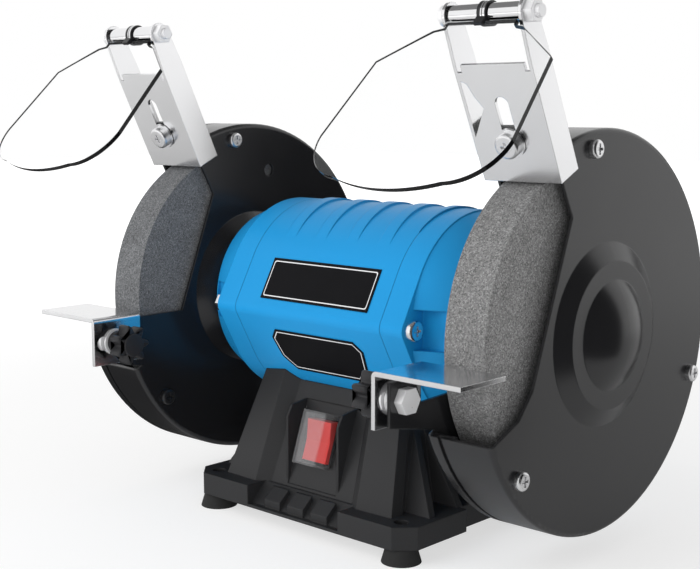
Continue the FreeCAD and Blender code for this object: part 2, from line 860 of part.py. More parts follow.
def cover_screws():
    """Screws through the deep halves into the posts; their heads face right on both guards."""
    screws = []
    for face in (cover_face_x, -guard_face_x):
        for y, z in post_points():
            screws.append(pan_screw(V(face, y, z), X_AXIS, cover_screw_d, cover_screw_length,
                                    cover_screw_head_d, cover_screw_head_h))
    return screws


def guard_screws():
    """Screws through the inner halves into the end bells."""
    screws = []
    for y, z in guard_screw_points():
        point = V(guard_seat_x + guard_sheet, y, z)
        right = pan_screw(point, X_AXIS, guard_screw_d, guard_screw_length + guard_sheet, guard_screw_head_d,
                          guard_screw_head_h)
        screws += [right, to_left(right)]
    return screws


# Tool rests


def tool_rest():
    """Right rest: a flat table with a slotted leg on the motor side."""
    table = box(rest_leg_x, rest_reach_x, rest_front_y, rest_back_y, rest_top_z - rest_sheet, rest_top_z)
    leg = box(rest_leg_x, rest_leg_x + rest_sheet, rest_front_y, rest_back_y, rest_leg_bottom_z, rest_top_z)
    solid = fused([table, leg])
    bend = [e for e in solid.Edges if abs(e.CenterOfMass.x - rest_leg_x) < TINY
            and abs(e.CenterOfMass.z - rest_top_z) < TINY]
    solid = solid.makeFillet(rest_bend_round, bend)
    radius = rest_bolt_d / 2 + slide_gap
    y0, y1 = rest_bolt_y - rest_slot_front, rest_bolt_y + rest_slot_back
    x0, x1 = rest_leg_x, rest_leg_x + rest_sheet
    slot = fused([box(x0, x1, y0, y1, rest_bolt_z - radius, rest_bolt_z + radius),
                  rod_x(x0, x1, y0, rest_bolt_z, radius), rod_x(x0, x1, y1, rest_bolt_z, radius)])
    return solid.cut(slot)


def rest_bolt():
    """Hexagon bolt from the wheel side of the guard arm into the knob."""
    head_x = guard_face_x + guard_sheet
    head = hexagon_x(head_x, head_x + rest_bolt_head_h, rest_bolt_y, rest_bolt_z, rest_bolt_flats)
    tip = knob_end_x + knob_length - knob_bolt_depth
    return fused([head, rod_x(tip, head_x, rest_bolt_y, rest_bolt_z, rest_bolt_d / 2)])


def rest_ring(x0, x1, diameter):
    """A washer or spacer on the rest bolt."""
    ring = rod_x(x0, x1, rest_bolt_y, rest_bolt_z, diameter / 2)
    return ring.cut(rod_x(x0, x1, rest_bolt_y, rest_bolt_z, rest_bolt_d / 2 + fit_gap))


def rest_spacer():
    """Spacer between the leg and the guard arm."""
    return rest_ring(rest_leg_x + rest_sheet + fit_gap, guard_face_x, rest_spacer_d)


def rest_washer():
    """Washer between the leg and the knob."""
    return rest_ring(rest_leg_x - rest_washer_t, rest_leg_x - fit_gap, rest_washer_d)


def clamp_knob():
    """Right star knob with a neck, lobes and a raised end face."""
    x0 = knob_end_x
    x1 = x0 + knob_length - fit_gap
    head_x = x0 + knob_head_length
    y, z = rest_bolt_y, rest_bolt_z
    pieces = [rod_x(head_x, x1, y, z, knob_neck_d / 2), rod_x(x0, head_x, y, z, knob_core_radius),
              rod_x(x0 - knob_face_h, x0, y, z, knob_face_radius)]
    for k in range(knob_lobes):
        turn = radians(360 * k / knob_lobes)
        pieces.append(rod_x(x0, head_x, y + knob_core_radius * cos(turn), z + knob_core_radius * sin(turn),
                            knob_lobe_radius))
    bore = rod_x(x1 - knob_bolt_depth - fit_gap, x1, y, z, rest_bolt_d / 2 + fit_gap)
    return fused(pieces).cut(bore)


# Shield brackets, hinges and shields


def shield_bracket():
    """Right bracket: slotted web with its spark edge, two side flanges and their hinge ears."""
    web = bracket_block(bracket_in_x, bracket_out_x, 0, bracket_web, -bracket_sheet, 0)
    low, high = hinge_depth - ear_radius, hinge_depth + ear_radius
    side = [(0, -bracket_sheet), (0, bracket_depth), (bracket_web, bracket_depth), (hinge_rise, high),
            (hinge_rise, low), (bracket_web, -bracket_sheet)]
    y, z = on_bracket(hinge_rise, hinge_depth)
    pieces = [web]
    for x in (bracket_in_x, bracket_out_x - bracket_sheet):
        pieces.append(bracket_plate(side, x, x + bracket_sheet))
        pieces.append(rod_x(x, x + bracket_sheet, y, z, ear_radius))
    solid = fused(pieces)
    solid = solid.cut(rod_x(bracket_in_x, bracket_out_x, y, z, hinge_bolt_d / 2 + fit_gap))
    for x in (bracket_in_x + bracket_sheet, bracket_out_x - bracket_sheet - relief_width):
        low_rise = bracket_web - relief_depth
        solid = solid.cut(bracket_block(x, x + relief_width, low_rise, bracket_web, -bracket_sheet, 0))
    radius = bracket_screw_d / 2 + slide_gap
    x0, x1 = bracket_mid_x - radius, bracket_mid_x + radius
    low_rise, high_rise = bracket_slot_low + radius, bracket_slot_high - radius
    slot = fused([bracket_block(x0, x1, low_rise, high_rise, -bracket_sheet, 0),
                  bracket_bar(low_rise, -bracket_sheet, 0, radius),
                  bracket_bar(high_rise, -bracket_sheet, 0, radius)])
    return solid.cut(slot)


def notched_bracket():
    """Right bracket with a notch in its web beside the inner flange."""
    outline = []
    for across, rise in web_notch:
        y, z = on_bracket(rise, -bracket_sheet)
        outline.append(V(bracket_in_x + bracket_sheet + across, y, z))
    lift = V(0, *on_bracket(0, 0)) - V(0, *on_bracket(0, -bracket_sheet))
    return shield_bracket().cut(Part.Face(Part.makePolygon(outline + outline[:1])).extrude(lift))


def bracket_screw():
    """Screw through the web's slot into the guard's tab."""
    lean = radians(bracket_tilt)
    front = -bracket_sheet - 2 * fit_gap - bracket_washer_t
    y, z = on_bracket(bracket_screw_rise, front)
    length = tab_back + bracket_nut_h - front
    return pan_screw(V(bracket_mid_x, y, z), V(0, -cos(lean), -sin(lean)), bracket_screw_d, length,
                     bracket_screw_head_d, bracket_screw_head_h)


def bracket_washer():
    """Washer between the web and the screw head."""
    front = -bracket_sheet - 2 * fit_gap - bracket_washer_t
    back = front + bracket_washer_t
    disc = bracket_bar(bracket_screw_rise, front, back, bracket_washer_d / 2)
    return disc.cut(bracket_bar(bracket_screw_rise, front, back, bracket_screw_d / 2 + fit_gap))


def bracket_nut():
    """Nut behind the guard's tab."""
    lean = radians(bracket_tilt)
    y, z = on_bracket(bracket_screw_rise, tab_back)
    nut = hexagon_x(0, bracket_nut_h, 0, 0, bracket_nut_flats).rotated(V(0, 0, 0), Y_AXIS, -90)
    nut = placed(nut, V(bracket_mid_x, y, z), V(0, cos(lean), sin(lean)))
    bore = bracket_bar(bracket_screw_rise, tab_back, tab_back + bracket_nut_h, bracket_screw_d / 2 + fit_gap)
    return nut.cut(bore)


def hinge_ends(side):
    """Lowest and highest X of one bracket's outside faces."""
    return (bracket_in_x, bracket_out_x) if side > 0 else (-bracket_out_x, -bracket_in_x)


def hinge_bolt(side):
    """Hinge bolt of one bracket, with its round head on the left."""
    x0, x1 = hinge_ends(side)
    y, z = on_bracket(hinge_rise, hinge_depth)
    head = rod_x(x0 - hinge_head_h, x0, y, z, hinge_head_d / 2)
    return fused([head, rod_x(x0, x1 + hinge_nut_h + hinge_bolt_spare, y, z, hinge_bolt_d / 2)])


def hinge_nut(side):
    """Nut on the right end of a hinge bolt."""
    x1 = hinge_ends(side)[1]
    y, z = on_bracket(hinge_rise, hinge_depth)
    nut = hexagon_x(x1, x1 + hinge_nut_h, y, z, hinge_nut_flats)
    return nut.cut(rod_x(x1, x1 + hinge_nut_h, y, z, hinge_bolt_d / 2 + fit_gap))


def hinge_sleeves(side):
    """Two bright sleeves on a hinge bolt, either side of the shield clip."""
    x0, x1 = hinge_ends(side)
    middle = (x0 + x1) / 2
    room = clip_width / 2 + slide_gap
    y, z = on_bracket(hinge_rise, hinge_depth)
    sleeves = []
    for low, high in ((x0 + bracket_sheet, middle - room), (middle + room, x1 - bracket_sheet)):
        tube = rod_x(low, high, y, z, sleeve_d / 2)
        sleeves.append(tube.cut(rod_x(low, high, y, z, hinge_bolt_d / 2 + fit_gap)))
    return sleeves


def on_shield(side, across, along, over):
    """A point on a shield: across its width, along it from the hinge, and over its middle plane."""
    droop = radians(shield_droop)
    y, z = on_bracket(hinge_rise, hinge_depth)
    return V(side * bracket_mid_x + across, y - along * cos(droop) - over * sin(droop),
             z - along * sin(droop) + over * cos(droop))


def shield_block(side, half, along0, along1, over0, over1):
    """A block lined up with a shield."""
    corners = [(-half, along0), (half, along0), (half, along1), (-half, along1)]
    outline = [on_shield(side, across, along, over0) for across, along in corners]
    lift = on_shield(side, 0, 0, over1) - on_shield(side, 0, 0, over0)
    return Part.Face(Part.makePolygon(outline + outline[:1])).extrude(lift)


def shield_clip(side):
    """Black ring on the hinge bolt with a tongue that holds the shield."""
    y, z = on_bracket(hinge_rise, hinge_depth)
    middle = side * bracket_mid_x
    x0, x1 = middle - clip_width / 2, middle + clip_width / 2
    low, high = shield_sheet / 2, shield_sheet / 2 + clip_sheet
    solid = fused([
        rod_x(x0, x1, y, z, clip_radius),
        shield_block(side, clip_width / 2, hinge_bolt_d / 2, clip_tongue_end, low, high),
    ])
    return solid.cut(rod_x(x0, x1, y, z, hinge_bolt_d / 2 + fit_gap))


def eye_shield(side):
    """Clear plate with a narrow neck, sloped shoulders and a rounded lower end."""
    under = -shield_sheet / 2
    right = [on_shield(side, across, along, under) for across, along in shield_side]
    left = [on_shield(side, -across, along, under) for across, along in shield_side]
    edges = [Part.LineSegment(left[0], right[0]).toShape()]
    for line in (right, left):
        for k in range(len(line) - 1):
            edges.append(Part.LineSegment(line[k], line[k + 1]).toShape())
    for sign, line in ((1, right), (-1, left)):
        middle = on_shield(side, sign * shield_corner[0], shield_corner[1], under)
        end = on_shield(side, sign * shield_corner_end[0], shield_corner_end[1], under)
        edges.append(Part.Arc(line[-1], middle, end).toShape())
    ends = [on_shield(side, sign * shield_corner_end[0], shield_corner_end[1], under) for sign in (-1, 1)]
    edges.append(Part.Arc(ends[0], on_shield(side, 0, shield_length, under), ends[1]).toShape())
    outline = Part.Wire(Part.__sortEdges__(edges))
    lift = on_shield(side, 0, 0, shield_sheet / 2) - on_shield(side, 0, 0, under)
    return Part.Face(outline).extrude(lift)


# Base


def plinth():
    """Flat foot of the base: cut corners, stepped-in middles and small steps at the front and back."""
    x, y, cut = plinth_half_x, plinth_half_y, plinth_corner
    outline = [(x - cut, -y), (x, -y + cut), (x, y - cut), (x - cut, y),
               (-x + cut, y), (-x, y - cut), (-x, -y + cut), (-x + cut, -y)]
    body = plate_xy(outline, foot_height, plinth_top_z)
    lip_z = foot_height + plinth_lip
    ramp = [(-y, lip_z), (-y, plinth_top_z), (-y + plinth_ramp, plinth_top_z), (-y + plinth_ledge, lip_z)]
    gap = plate_yz(ramp, -plinth_front_gap, plinth_front_gap)
    side = box(x - plinth_side_step, x, -plinth_side_gap, plinth_side_gap, foot_height, plinth_top_z)
    body = body.cut(gap).cut(flip_y(gap)).cut(side).cut(to_left(side))
    steps = []
    for k in range(step_block_count):
        middle = (k - (step_block_count - 1) / 2) * step_block_pitch
        front = -y + step_block_inset
        back = front + step_block_depth
        half = step_block_width / 2
        side = [(front, foot_height), (front, foot_height + step_block_height), (back, plinth_top_z),
                (back, foot_height)]
        block = plate_yz(side, middle - half, middle + half)
        steps += [block, flip_y(block)]
    return fused([body] + steps)


def switch_point(across, up, out):
    """A point given across and up the sloped switch wall, and out from it."""
    y = switch_wall_y + up * sin(front_slope) - out * cos(front_slope)
    return V(across, y, switch_wall_z + up * cos(front_slope) + out * sin(front_slope))


def switch_block(half_x, half_up, out0, out1):
    """A block lined up with the switch wall."""
    corners = [(-half_x, -half_up), (half_x, -half_up), (half_x, half_up), (-half_x, half_up)]
    outline = [switch_point(across, up, out0) for across, up in corners]
    lift = switch_point(0, 0, out1) - switch_point(0, 0, out0)
    return Part.Face(Part.makePolygon(outline + outline[:1])).extrude(lift)


def switch_recess():
    """Shallow cut in the front of the base, down to the sloped switch wall."""
    low_y = switch_wall_y - (switch_wall_z - switch_recess_low_z) * tan(front_slope)
    top_y = switch_wall_y + (switch_recess_top_z - switch_wall_z) * tan(front_slope)
    front = -plinth_half_y
    points = [(low_y, switch_recess_low_z), (top_y, switch_recess_top_z), (front, switch_recess_top_z),
              (front, switch_recess_low_z)]
    return plate_yz(points, -switch_recess_half_x, switch_recess_half_x)


def switch_cheeks():
    """Thin walls that stand out from the front on both sides of the switch."""
    points = [(y - pedestal_low_y, plinth_top_z + z) for y, z in cheek_outline]
    cheek = plate_yz(points, switch_recess_half_x, switch_recess_half_x + cheek_t)
    return [cheek, to_left(cheek)]


def gussets():
    """Ribs from the pedestal's sides to the plinth: an upright pair and a leaning one at each corner."""
    points = [(0, plinth_top_z), (gusset_reach_x, plinth_top_z), (gusset_top_x, gusset_top_z),
              (0, gusset_top_z)]
    upright = plate_xz(points, -gusset_row, -gusset_row + gusset_width)
    outlines = []
    for reach, y in ((corner_rib_x, -corner_rib_low_y), (gusset_top_x, -corner_rib_top_y)):
        outlines.append([(0, y), (reach, y), (reach, y + gusset_width), (0, y + gusset_width)])
    leaning = tapered(outlines[0], plinth_top_z, outlines[1], gusset_top_z)
    ribs = []
    for rib in (upright, leaning):
        for shape in (rib, to_left(rib)):
            ribs += [shape, flip_y(shape)]
    return ribs


def bottom_screw_points():
    """Where the screws that hold the bottom plate go."""
    x = cavity_low_x + bottom_plate_margin / 2
    y = cavity_low_y - bottom_plate_margin
    return [(sx * x, sy * y) for sx in (-1, 1) for sy in (-1, 1)]


def base():
    """Hollow pedestal on a plinth, with a cradle for the motor, pilasters and a recess for the switch."""
    body = tapered(rectangle(pedestal_low_x, pedestal_low_y), plinth_top_z,
                   rectangle(pedestal_top_x, pedestal_top_y), pedestal_top_z)
    column = tapered([(pedestal_low_x + x, -pedestal_low_y - y) for x, y in pilaster_low], plinth_top_z,
                     [(pedestal_top_x + x, -pedestal_top_y - y) for x, y in pilaster_top], pilaster_top_z)
    columns = [column, to_left(column), flip_y(column), flip_y(to_left(column))]
    boss = Part.makeCylinder(gland_boss_radius, gland_boss_y, V(0, 0, gland_z), Y_AXIS)
    solid = fused([plinth(), body, boss] + columns + gussets() + switch_cheeks())
    solid = solid.cut(on_shaft(-plinth_half_x, plinth_half_x, barrel_radius + fit_gap))
    solid = solid.cut(tapered(rectangle(cavity_low_x, cavity_low_y), foot_height,
                              rectangle(cavity_top_x, cavity_top_y), cavity_top_z))
    solid = solid.cut(switch_recess())
    solid = solid.cut(switch_block(switch_body_width / 2 + fit_gap, switch_body_height / 2 + fit_gap,
                                   -switch_body_depth, switch_body_depth))
    solid = solid.cut(Part.makeCylinder(gland_radius + fit_gap, plinth_half_y, V(0, 0, gland_z), Y_AXIS))
    for screw_hole in housing_screw_bars(housing_screw_d / 2 + fit_gap):
        solid = solid.cut(screw_hole)
    for x, y in bottom_screw_points():
        hole = Part.makeCylinder(bottom_screw_d / 2 + fit_gap, bottom_screw_length, V(x, y, foot_height))
        solid = solid.cut(hole)
    for x in (-foot_x, foot_x):
        for y in (-foot_y, foot_y):
            solid = solid.cut(Part.makeCylinder(bench_hole_d / 2, plinth_top_z, V(x, y, 0)))
    return solid


def bottom_plate():
    """Sheet that closes the base from below."""
    x, y = cavity_low_x + bottom_plate_margin, cavity_low_y + bottom_plate_margin
    low_z = foot_height - bottom_plate_t
    plate = box(-x, x, -y, y, low_z, foot_height)
    for px, py in bottom_screw_points():
        hole = Part.makeCylinder(bottom_screw_d / 2 + fit_gap, bottom_plate_t, V(px, py, low_z))
        plate = plate.cut(hole)
    return plate


def bottom_screws():
    """Screws that hold the bottom plate."""
    screws = []
    for x, y in bottom_screw_points():
        screws.append(pan_screw(V(x, y, foot_height - bottom_plate_t), V(0, 0, -1), bottom_screw_d,
                                bottom_screw_length, bottom_screw_head_d, bottom_screw_head_h))
    return screws


def rubber_feet():
    """Four coned feet, bored for the bench bolts."""
    feet = []
    for x in (-foot_x, foot_x):
        for y in (-foot_y, foot_y):
            foot = Part.makeCone(foot_bottom_d / 2, foot_top_d / 2, foot_height, V(x, y, 0))
            feet.append(foot.cut(Part.makeCylinder(bench_hole_d / 2, foot_height, V(x, y, 0))))
    return feet


# Switch


def switch_bezel_half():
    """Half width and half height of the switch's flange, inside the splash cover."""
    slack = switch_cover_wall + slide_gap
    return switch_cover_width / 2 - slack, switch_cover_height / 2 - slack


def switch_body():
    """Switch case with its flange on the sloped wall and an open well for the rocker."""
    half_x, half_up = switch_bezel_half()
    solid = fused([
        switch_block(half_x, half_up, 0, switch_bezel_t),
        switch_block(switch_body_width / 2, switch_body_height / 2, -switch_body_depth, 0),
    ])
    well = rocker_well / 2
    solid = solid.cut(switch_block(rocker_width / 2 + slide_gap, well, -well, switch_bezel_t))
    pin = rod_x(-switch_body_width / 2, switch_body_width / 2, rocker_axis().y, rocker_axis().z,
                rocker_pin_d / 2 + fit_gap)
    return solid.cut(pin)


def rocker_axis():
    """The rocker's pivot, just below the wall."""
    return switch_point(0, 0, -rocker_pivot_sink)


def switch_rocker():
    """Rocker with a creased face, its lower end standing out, on two pivot pins."""
    corners = [switch_point(-rocker_width / 2, up, out - rocker_pivot_sink) for up, out in rocker_outline]
    key = Part.Face(Part.makePolygon(corners + corners[:1])).extrude(V(rocker_width, 0, 0))
    centre = rocker_axis()
    key = key.rotated(centre, X_AXIS, rocker_tilt)
    pin = rod_x(-switch_body_width / 2, switch_body_width / 2, centre.y, centre.z, rocker_pin_d / 2)
    return fused([key, pin])


def switch_cover():
    """Clear splash hood over the rocker."""
    half_x, half_up = switch_cover_width / 2, switch_cover_height / 2
    hood = switch_block(half_x, half_up, 0, switch_cover_depth)
    inside = switch_block(half_x - switch_cover_wall, half_up - switch_cover_wall, 0,
                          switch_cover_depth - switch_cover_wall)
    return hood.cut(inside)


def cable_gland():
    """Bush for the supply lead in the back wall."""
    start = gland_boss_y + gland_flange_t - gland_length
    body = fused([
        Part.makeCylinder(gland_radius, gland_length, V(0, start, gland_z), Y_AXIS),
        Part.makeCylinder(gland_flange_radius, gland_flange_t, V(0, gland_boss_y, gland_z), Y_AXIS),
    ])
    return body.cut(Part.makeCylinder(gland_bore_radius, gland_length, V(0, start, gland_z), Y_AXIS))


def capacitor_z():
    """Height of the capacitor's axis over the bottom plate."""
    return foot_height + clip_band_t + capacitor_d / 2 + fit_gap


def capacitor():
    """Run capacitor lying on the bottom plate."""
    half = capacitor_length / 2
    return rod_x(-half, half, capacitor_y, capacitor_z(), capacitor_d / 2)


def capacitor_clip():
    """Sheet band round the capacitor with two feet on the bottom plate."""
    half = clip_band_width / 2
    inner = capacitor_d / 2 + fit_gap
    outer = inner + clip_band_t
    top = foot_height + clip_band_t
    band = fused([rod_x(-half, half, capacitor_y, capacitor_z(), outer),
                  box(-half, half, capacitor_y - outer, capacitor_y + outer, foot_height, capacitor_z())])
    reach = outer + clip_foot
    feet = box(-half, half, capacitor_y - reach, capacitor_y + reach, foot_height, top)
    hollow = fused([rod_x(-half, half, capacitor_y, capacitor_z(), inner),
                    box(-half, half, capacitor_y - inner, capacitor_y + inner, top, capacitor_z())])
    return fused([band, feet]).cut(hollow)


def main():
    """Write every sub-part."""
    os.makedirs("parts", exist_ok=True)
    write("base", base())
    write("bottom_plate", bottom_plate())
    write("bottom_screws", *bottom_screws())
    write("rubber_feet", *rubber_feet())
    write("motor_housing", motor_housing())
    write("right_end_bell", end_bell())
    write("left_end_bell", to_left(end_bell()))
    write("tie_bolts", *tie_bolts())
    write("tie_nuts", *tie_nuts())
    write("housing_screws", *housing_screws())
    write("stator_core", stator_core())
    write("stator_windings", stator_windings())
    write("rotor_core", rotor_core())
    write("rotor_shaft", rotor_shaft())
    write("bearing_outer_rings", *bearing_pair(bearing_outer_ring))
    write("bearing_inner_rings", *bearing_pair(bearing_inner_ring))
    write("bearing_balls", *bearing_ball_set())
    write("upper_name_plate", upper_name_plate())
    write("lower_name_plate", lower_name_plate())
    write("switch_body", switch_body())
    write("switch_rocker", switch_rocker())
    write("switch_cover", switch_cover())
    write("cable_gland", cable_gland())
    write("capacitor", capacitor())
    write("capacitor_clip", capacitor_clip())
    write("right_guard_inner", inner_guard(lid(False), right_arm))
    write("left_guard_inner", to_left(inner_guard(pan(False), left_arm)))
    write("right_guard_cover", outer_cover(pan(True)))
    write("left_guard_cover", to_left(outer_cover(lid(True))))
    write("cover_screws", *cover_screws())
    write("guard_screws", *guard_screws())
    write("right_shield_bracket", notched_bracket())
    write("left_shield_bracket", to_left(shield_bracket()))
    pairs = {"wheel": grinding_wheel, "tool_rest": tool_rest, "knob": clamp_knob}
    for name, make in pairs.items():
        shape = make()
        write("right_" + name, shape)
        write("left_" + name, to_left(shape))
    write("wheel_blotters", *(blotters() + [to_left(disc) for disc in blotters()]))
    groups = {"inner_flanges": inner_flange, "outer_flanges": outer_flange, "wheel_nuts": wheel_nut,
              "rest_bolts": rest_bolt, "rest_spacers": rest_spacer, "rest_washers": rest_washer,
              "bracket_screws": bracket_screw, "bracket_washers": bracket_washer, "bracket_nuts": bracket_nut}
    for name, make in groups.items():
        shape = make()
        write(name, shape, to_left(shape))
    for side, name in ((1, "right_"), (-1, "left_")):
        write(name + "hinge_bolt", hinge_bolt(side))
        write(name + "hinge_nut", hinge_nut(side))
        write(name + "hinge_sleeves", *hinge_sleeves(side))
        write(name + "shield_clip", shield_clip(side))
        write(name + "eye_shield", eye_shield(side))


main()
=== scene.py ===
from math import cos, pi, radians, sin

import bmesh
import bpy
from bpy.props import FloatProperty, FloatVectorProperty, IntProperty, PointerProperty
from mathutils import Euler, Matrix, Vector


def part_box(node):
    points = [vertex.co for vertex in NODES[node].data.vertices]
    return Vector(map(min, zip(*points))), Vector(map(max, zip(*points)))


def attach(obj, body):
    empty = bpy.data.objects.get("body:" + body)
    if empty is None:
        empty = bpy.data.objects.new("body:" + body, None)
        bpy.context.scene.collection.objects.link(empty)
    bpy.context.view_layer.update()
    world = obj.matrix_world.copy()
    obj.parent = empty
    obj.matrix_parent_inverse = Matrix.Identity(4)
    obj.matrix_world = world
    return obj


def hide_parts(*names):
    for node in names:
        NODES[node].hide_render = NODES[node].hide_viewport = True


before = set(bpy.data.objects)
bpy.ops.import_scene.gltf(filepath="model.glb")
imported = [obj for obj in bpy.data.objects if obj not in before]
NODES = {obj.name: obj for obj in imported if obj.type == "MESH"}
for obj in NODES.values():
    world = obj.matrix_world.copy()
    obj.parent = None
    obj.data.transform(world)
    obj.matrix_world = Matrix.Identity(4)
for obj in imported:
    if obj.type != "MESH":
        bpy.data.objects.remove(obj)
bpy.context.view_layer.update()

bl_info = {
    "name": "Bench grinder",
    "version": (1, 1, 0),
    "blender": (4, 5, 0),
    "location": "3D View > Sidebar > Grinder",
    "description": "Dresses the packed bench grinder with its finishes, small details and a studio",
    "category": "Object",
}

SHAFT_Z = sum(corner.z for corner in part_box("rotor_shaft")) / 2

# Half outlines of the name plates: metres from their middle and above the shaft, going up
UPPER_PLATE = ((0.0345, 0.00595), (0.0345, 0.0244))
LOWER_PLATE = ((0.0210, -0.0295), (0.0278, -0.0232), (0.0296, -0.0134), (0.0252, -0.0088))

# Shades of bonded grit: places on a ramp, and brightness beside the wheel's own colour
GRIT_SHADES = ((0.0, 0.3), (0.3, 0.78), (0.7, 1.15), (1.0, 1.95))

# Bright rings of a shield clip, as shares of its width: from, to, and the middle and half width of their gap
RINGS_FROM, RINGS_TO, RINGS_GAP, RINGS_GAP_HALF = 0.40, 0.88, 0.60, 0.05
# Share of the clip's height above which the rings show
RINGS_FOOT = 0.35

# Lamps: the setting with their watts, their place and their width in metres
LAMPS = {
    "key_lamp": ("key", (-0.35, -1.0, 0.9), 0.8),
    "side_lamp": ("side", (1.0, -0.95, 0.25), 0.6),
    "fill_lamp": ("fill", (-0.8, -0.9, 0.12), 0.5),
}

# Dark cards behind the machine, beside it and overhead: middle, turn, half width and glow
FLAGS = {
    "back_flag": ((0.03, 0.17, 0.10), (pi / 2, 0, 0), 0.11, 0.006),
    "right_flag": ((0.30, -0.18, 0.30), (0, pi / 2, 0), 0.32, 0.006),
    "top_flag": ((0, 0, 1.2), (0, 0, 0), 0.95, 0.22),
}

# Greys of the floor: two to the camera, one to plain surfaces, and two more in shiny surfaces
FLOOR_SEEN, FLOOR_PLAIN, FLOOR_DIM, FLOOR_DARK = (0.42, 0.44), 0.80, 0.62, 0.05
# In shiny surfaces the floor is dark to the left of X and behind Y, and dim to the left elsewhere
DARK_X, DARK_Y, DARK_FADE = -0.10, -0.16, 0.05
DIM_X, DIM_FADE = -0.15, 0.15

# Sockets of a Mix node that take and give colours
MIX_FACTOR, MIX_FIRST, MIX_SECOND, MIX_RESULT = 0, 6, 7, 2

# Mesh detail of new pieces
ALONG_X = Matrix.Rotation(pi / 2, 4, "Y")
DISC_SEGMENTS = 48
LOBE_SEGMENTS = 14
ROUND_SEGMENTS = 3
SAME_PLACE = 1e-6


def colour(name, default, words):
    """A colour that a user can change."""
    return FloatVectorProperty(name=name, description=words, default=default, size=3, min=0, max=1,
                               subtype="COLOR")


def length(name, default, words):
    """A length in metres that a user can change."""
    return FloatProperty(name=name, description=words, default=default, min=0, unit="LENGTH", precision=5)


def level(name, default, words):
    """A plain number that a user can change."""
    return FloatProperty(name=name, description=words, default=default, min=0)


def angle(name, default, words):
    """An angle, given in degrees, that a user can change."""
    return FloatProperty(name=name, description=words, default=radians(default), unit="ROTATION")


class GrinderPaint(bpy.types.PropertyGroup):
    """Colours of the finishes."""

    housing: colour("Housing", (0.013, 0.278, 0.615), "Paint on the motor and its end bells")
    base: colour("Base", (0.024, 0.024, 0.025), "Moulded base")
    guard: colour("Guards", (0.011, 0.011, 0.012), "Paint on the wheel guards")
    rubber: colour("Rubber", (0.022, 0.022, 0.022), "Feet and cable gland")
    # This black is also the painted shade on the bracket washers, the low front left cover screw and the eye
    # shields' cut edges.
    knob: colour("Knobs", (0.012, 0.012, 0.013), "Clamping knobs and small black plastics")
    coarse: colour("Coarse wheel", (0.205, 0.205, 0.205), "Right grinding wheel")
    fine: colour("Fine wheel", (0.150, 0.154, 0.160), "Left grinding wheel")
    rocker: colour("Rocker", (0.54, 0.028, 0.024), "Switch rocker")
    hood: colour("Hood", (0.62, 0.62, 0.63), "Clear hood over the switch")
    shield: colour("Shields", (0.86, 0.88, 0.88), "Clear eye shields")
    plate: colour("Plates", (0.006, 0.006, 0.007), "Name plates")
    border: colour("Plate border", (0.75, 0.76, 0.77), "Thin line round the name plates")
    bright: colour("Bright plating", (0.91, 0.91, 0.92), "Rests, brackets, fasteners and bearings")
    chrome: colour("Chrome", (0.86, 0.86, 0.87), "Hinge sleeves and the rings of the clips")
    steel: colour("Bare steel", (0.48, 0.49, 0.50), "Shaft, flanges and other inner steel")
    copper: colour("Windings", (0.62, 0.27, 0.11), "Varnished copper")
    paper: colour("Blotters", (0.58, 0.52, 0.38), "Paper discs beside the wheels")


class GrinderSizes(bpy.types.PropertyGroup):
    """Sizes of the details."""

    plate_inset: length("Plate line inset", 0.0014, "From a name plate's edge to its line")
    plate_line: length("Plate line width", 0.00044, "Width of a name plate's line")
    plate_soft: length("Plate line corner", 0.0016, "Softness of the corners of the upper plate's line")
    grain: length("Abrasive grain", 0.00052, "Size of a wheel's grains")
    seam: length("Seam width", 0.0005, "Line between the barrel and an end bell")
    soft_edge: length("Soft edge", 0.0009, "Rounding of painted and moulded edges")
    sheet_edge: length("Sheet edge", 0.0004, "Rounding of sheet, fastener and switch edges")
    # Deeper than this, a bracket washer is painted black as painted shade.
    washer_face: length("Washer face", 0.0011, "Depth of the bright side of a bracket washer")
    hood_clear: length("Clear strip", 0.0042, "From the switch hood's middle to its clear strip")
    hood_fade: length("Clear strip fade", 0.0005, "How softly the clear strip starts")
    knob_lobes: IntProperty(name="Knob lobes", description="Lobes round a star knob", default=7, min=3)
    knob_core: length("Knob core radius", 0.0079, "Middle radius of a star knob's outline")
    knob_wave: length("Knob lobe height", 0.0019, "How far a star knob's lobes swing out and in")
    knob_head: length("Knob head length", 0.0080, "Length of a star knob's lobed head")
    knob_neck: length("Knob neck radius", 0.0055, "Radius of a star knob's neck")
    knob_round: length("Knob rounding", 0.0012, "Rounding of a star knob's lobes")
    knob_cap: length("Knob cap radius", 0.0056, "Radius of the dished cap on a star knob")
    cap_depth: length("Cap depth", 0.0030, "Length of a knob's cap")
    cap_slope: length("Cap slope", 0.0006, "How much wider a knob's cap is at its foot")
    cap_proud: length("Cap height", 0.0008, "How far a knob's cap stands out of its lobed head")
    cap_round: length("Cap rounding", 0.0004, "Rounding of a cap's edge")
    dish_rim: length("Dish rim", 0.0012, "Width of the rim round a cap's dish")
    dish_depth: length("Dish depth", 0.0004, "Depth of a cap's dish")


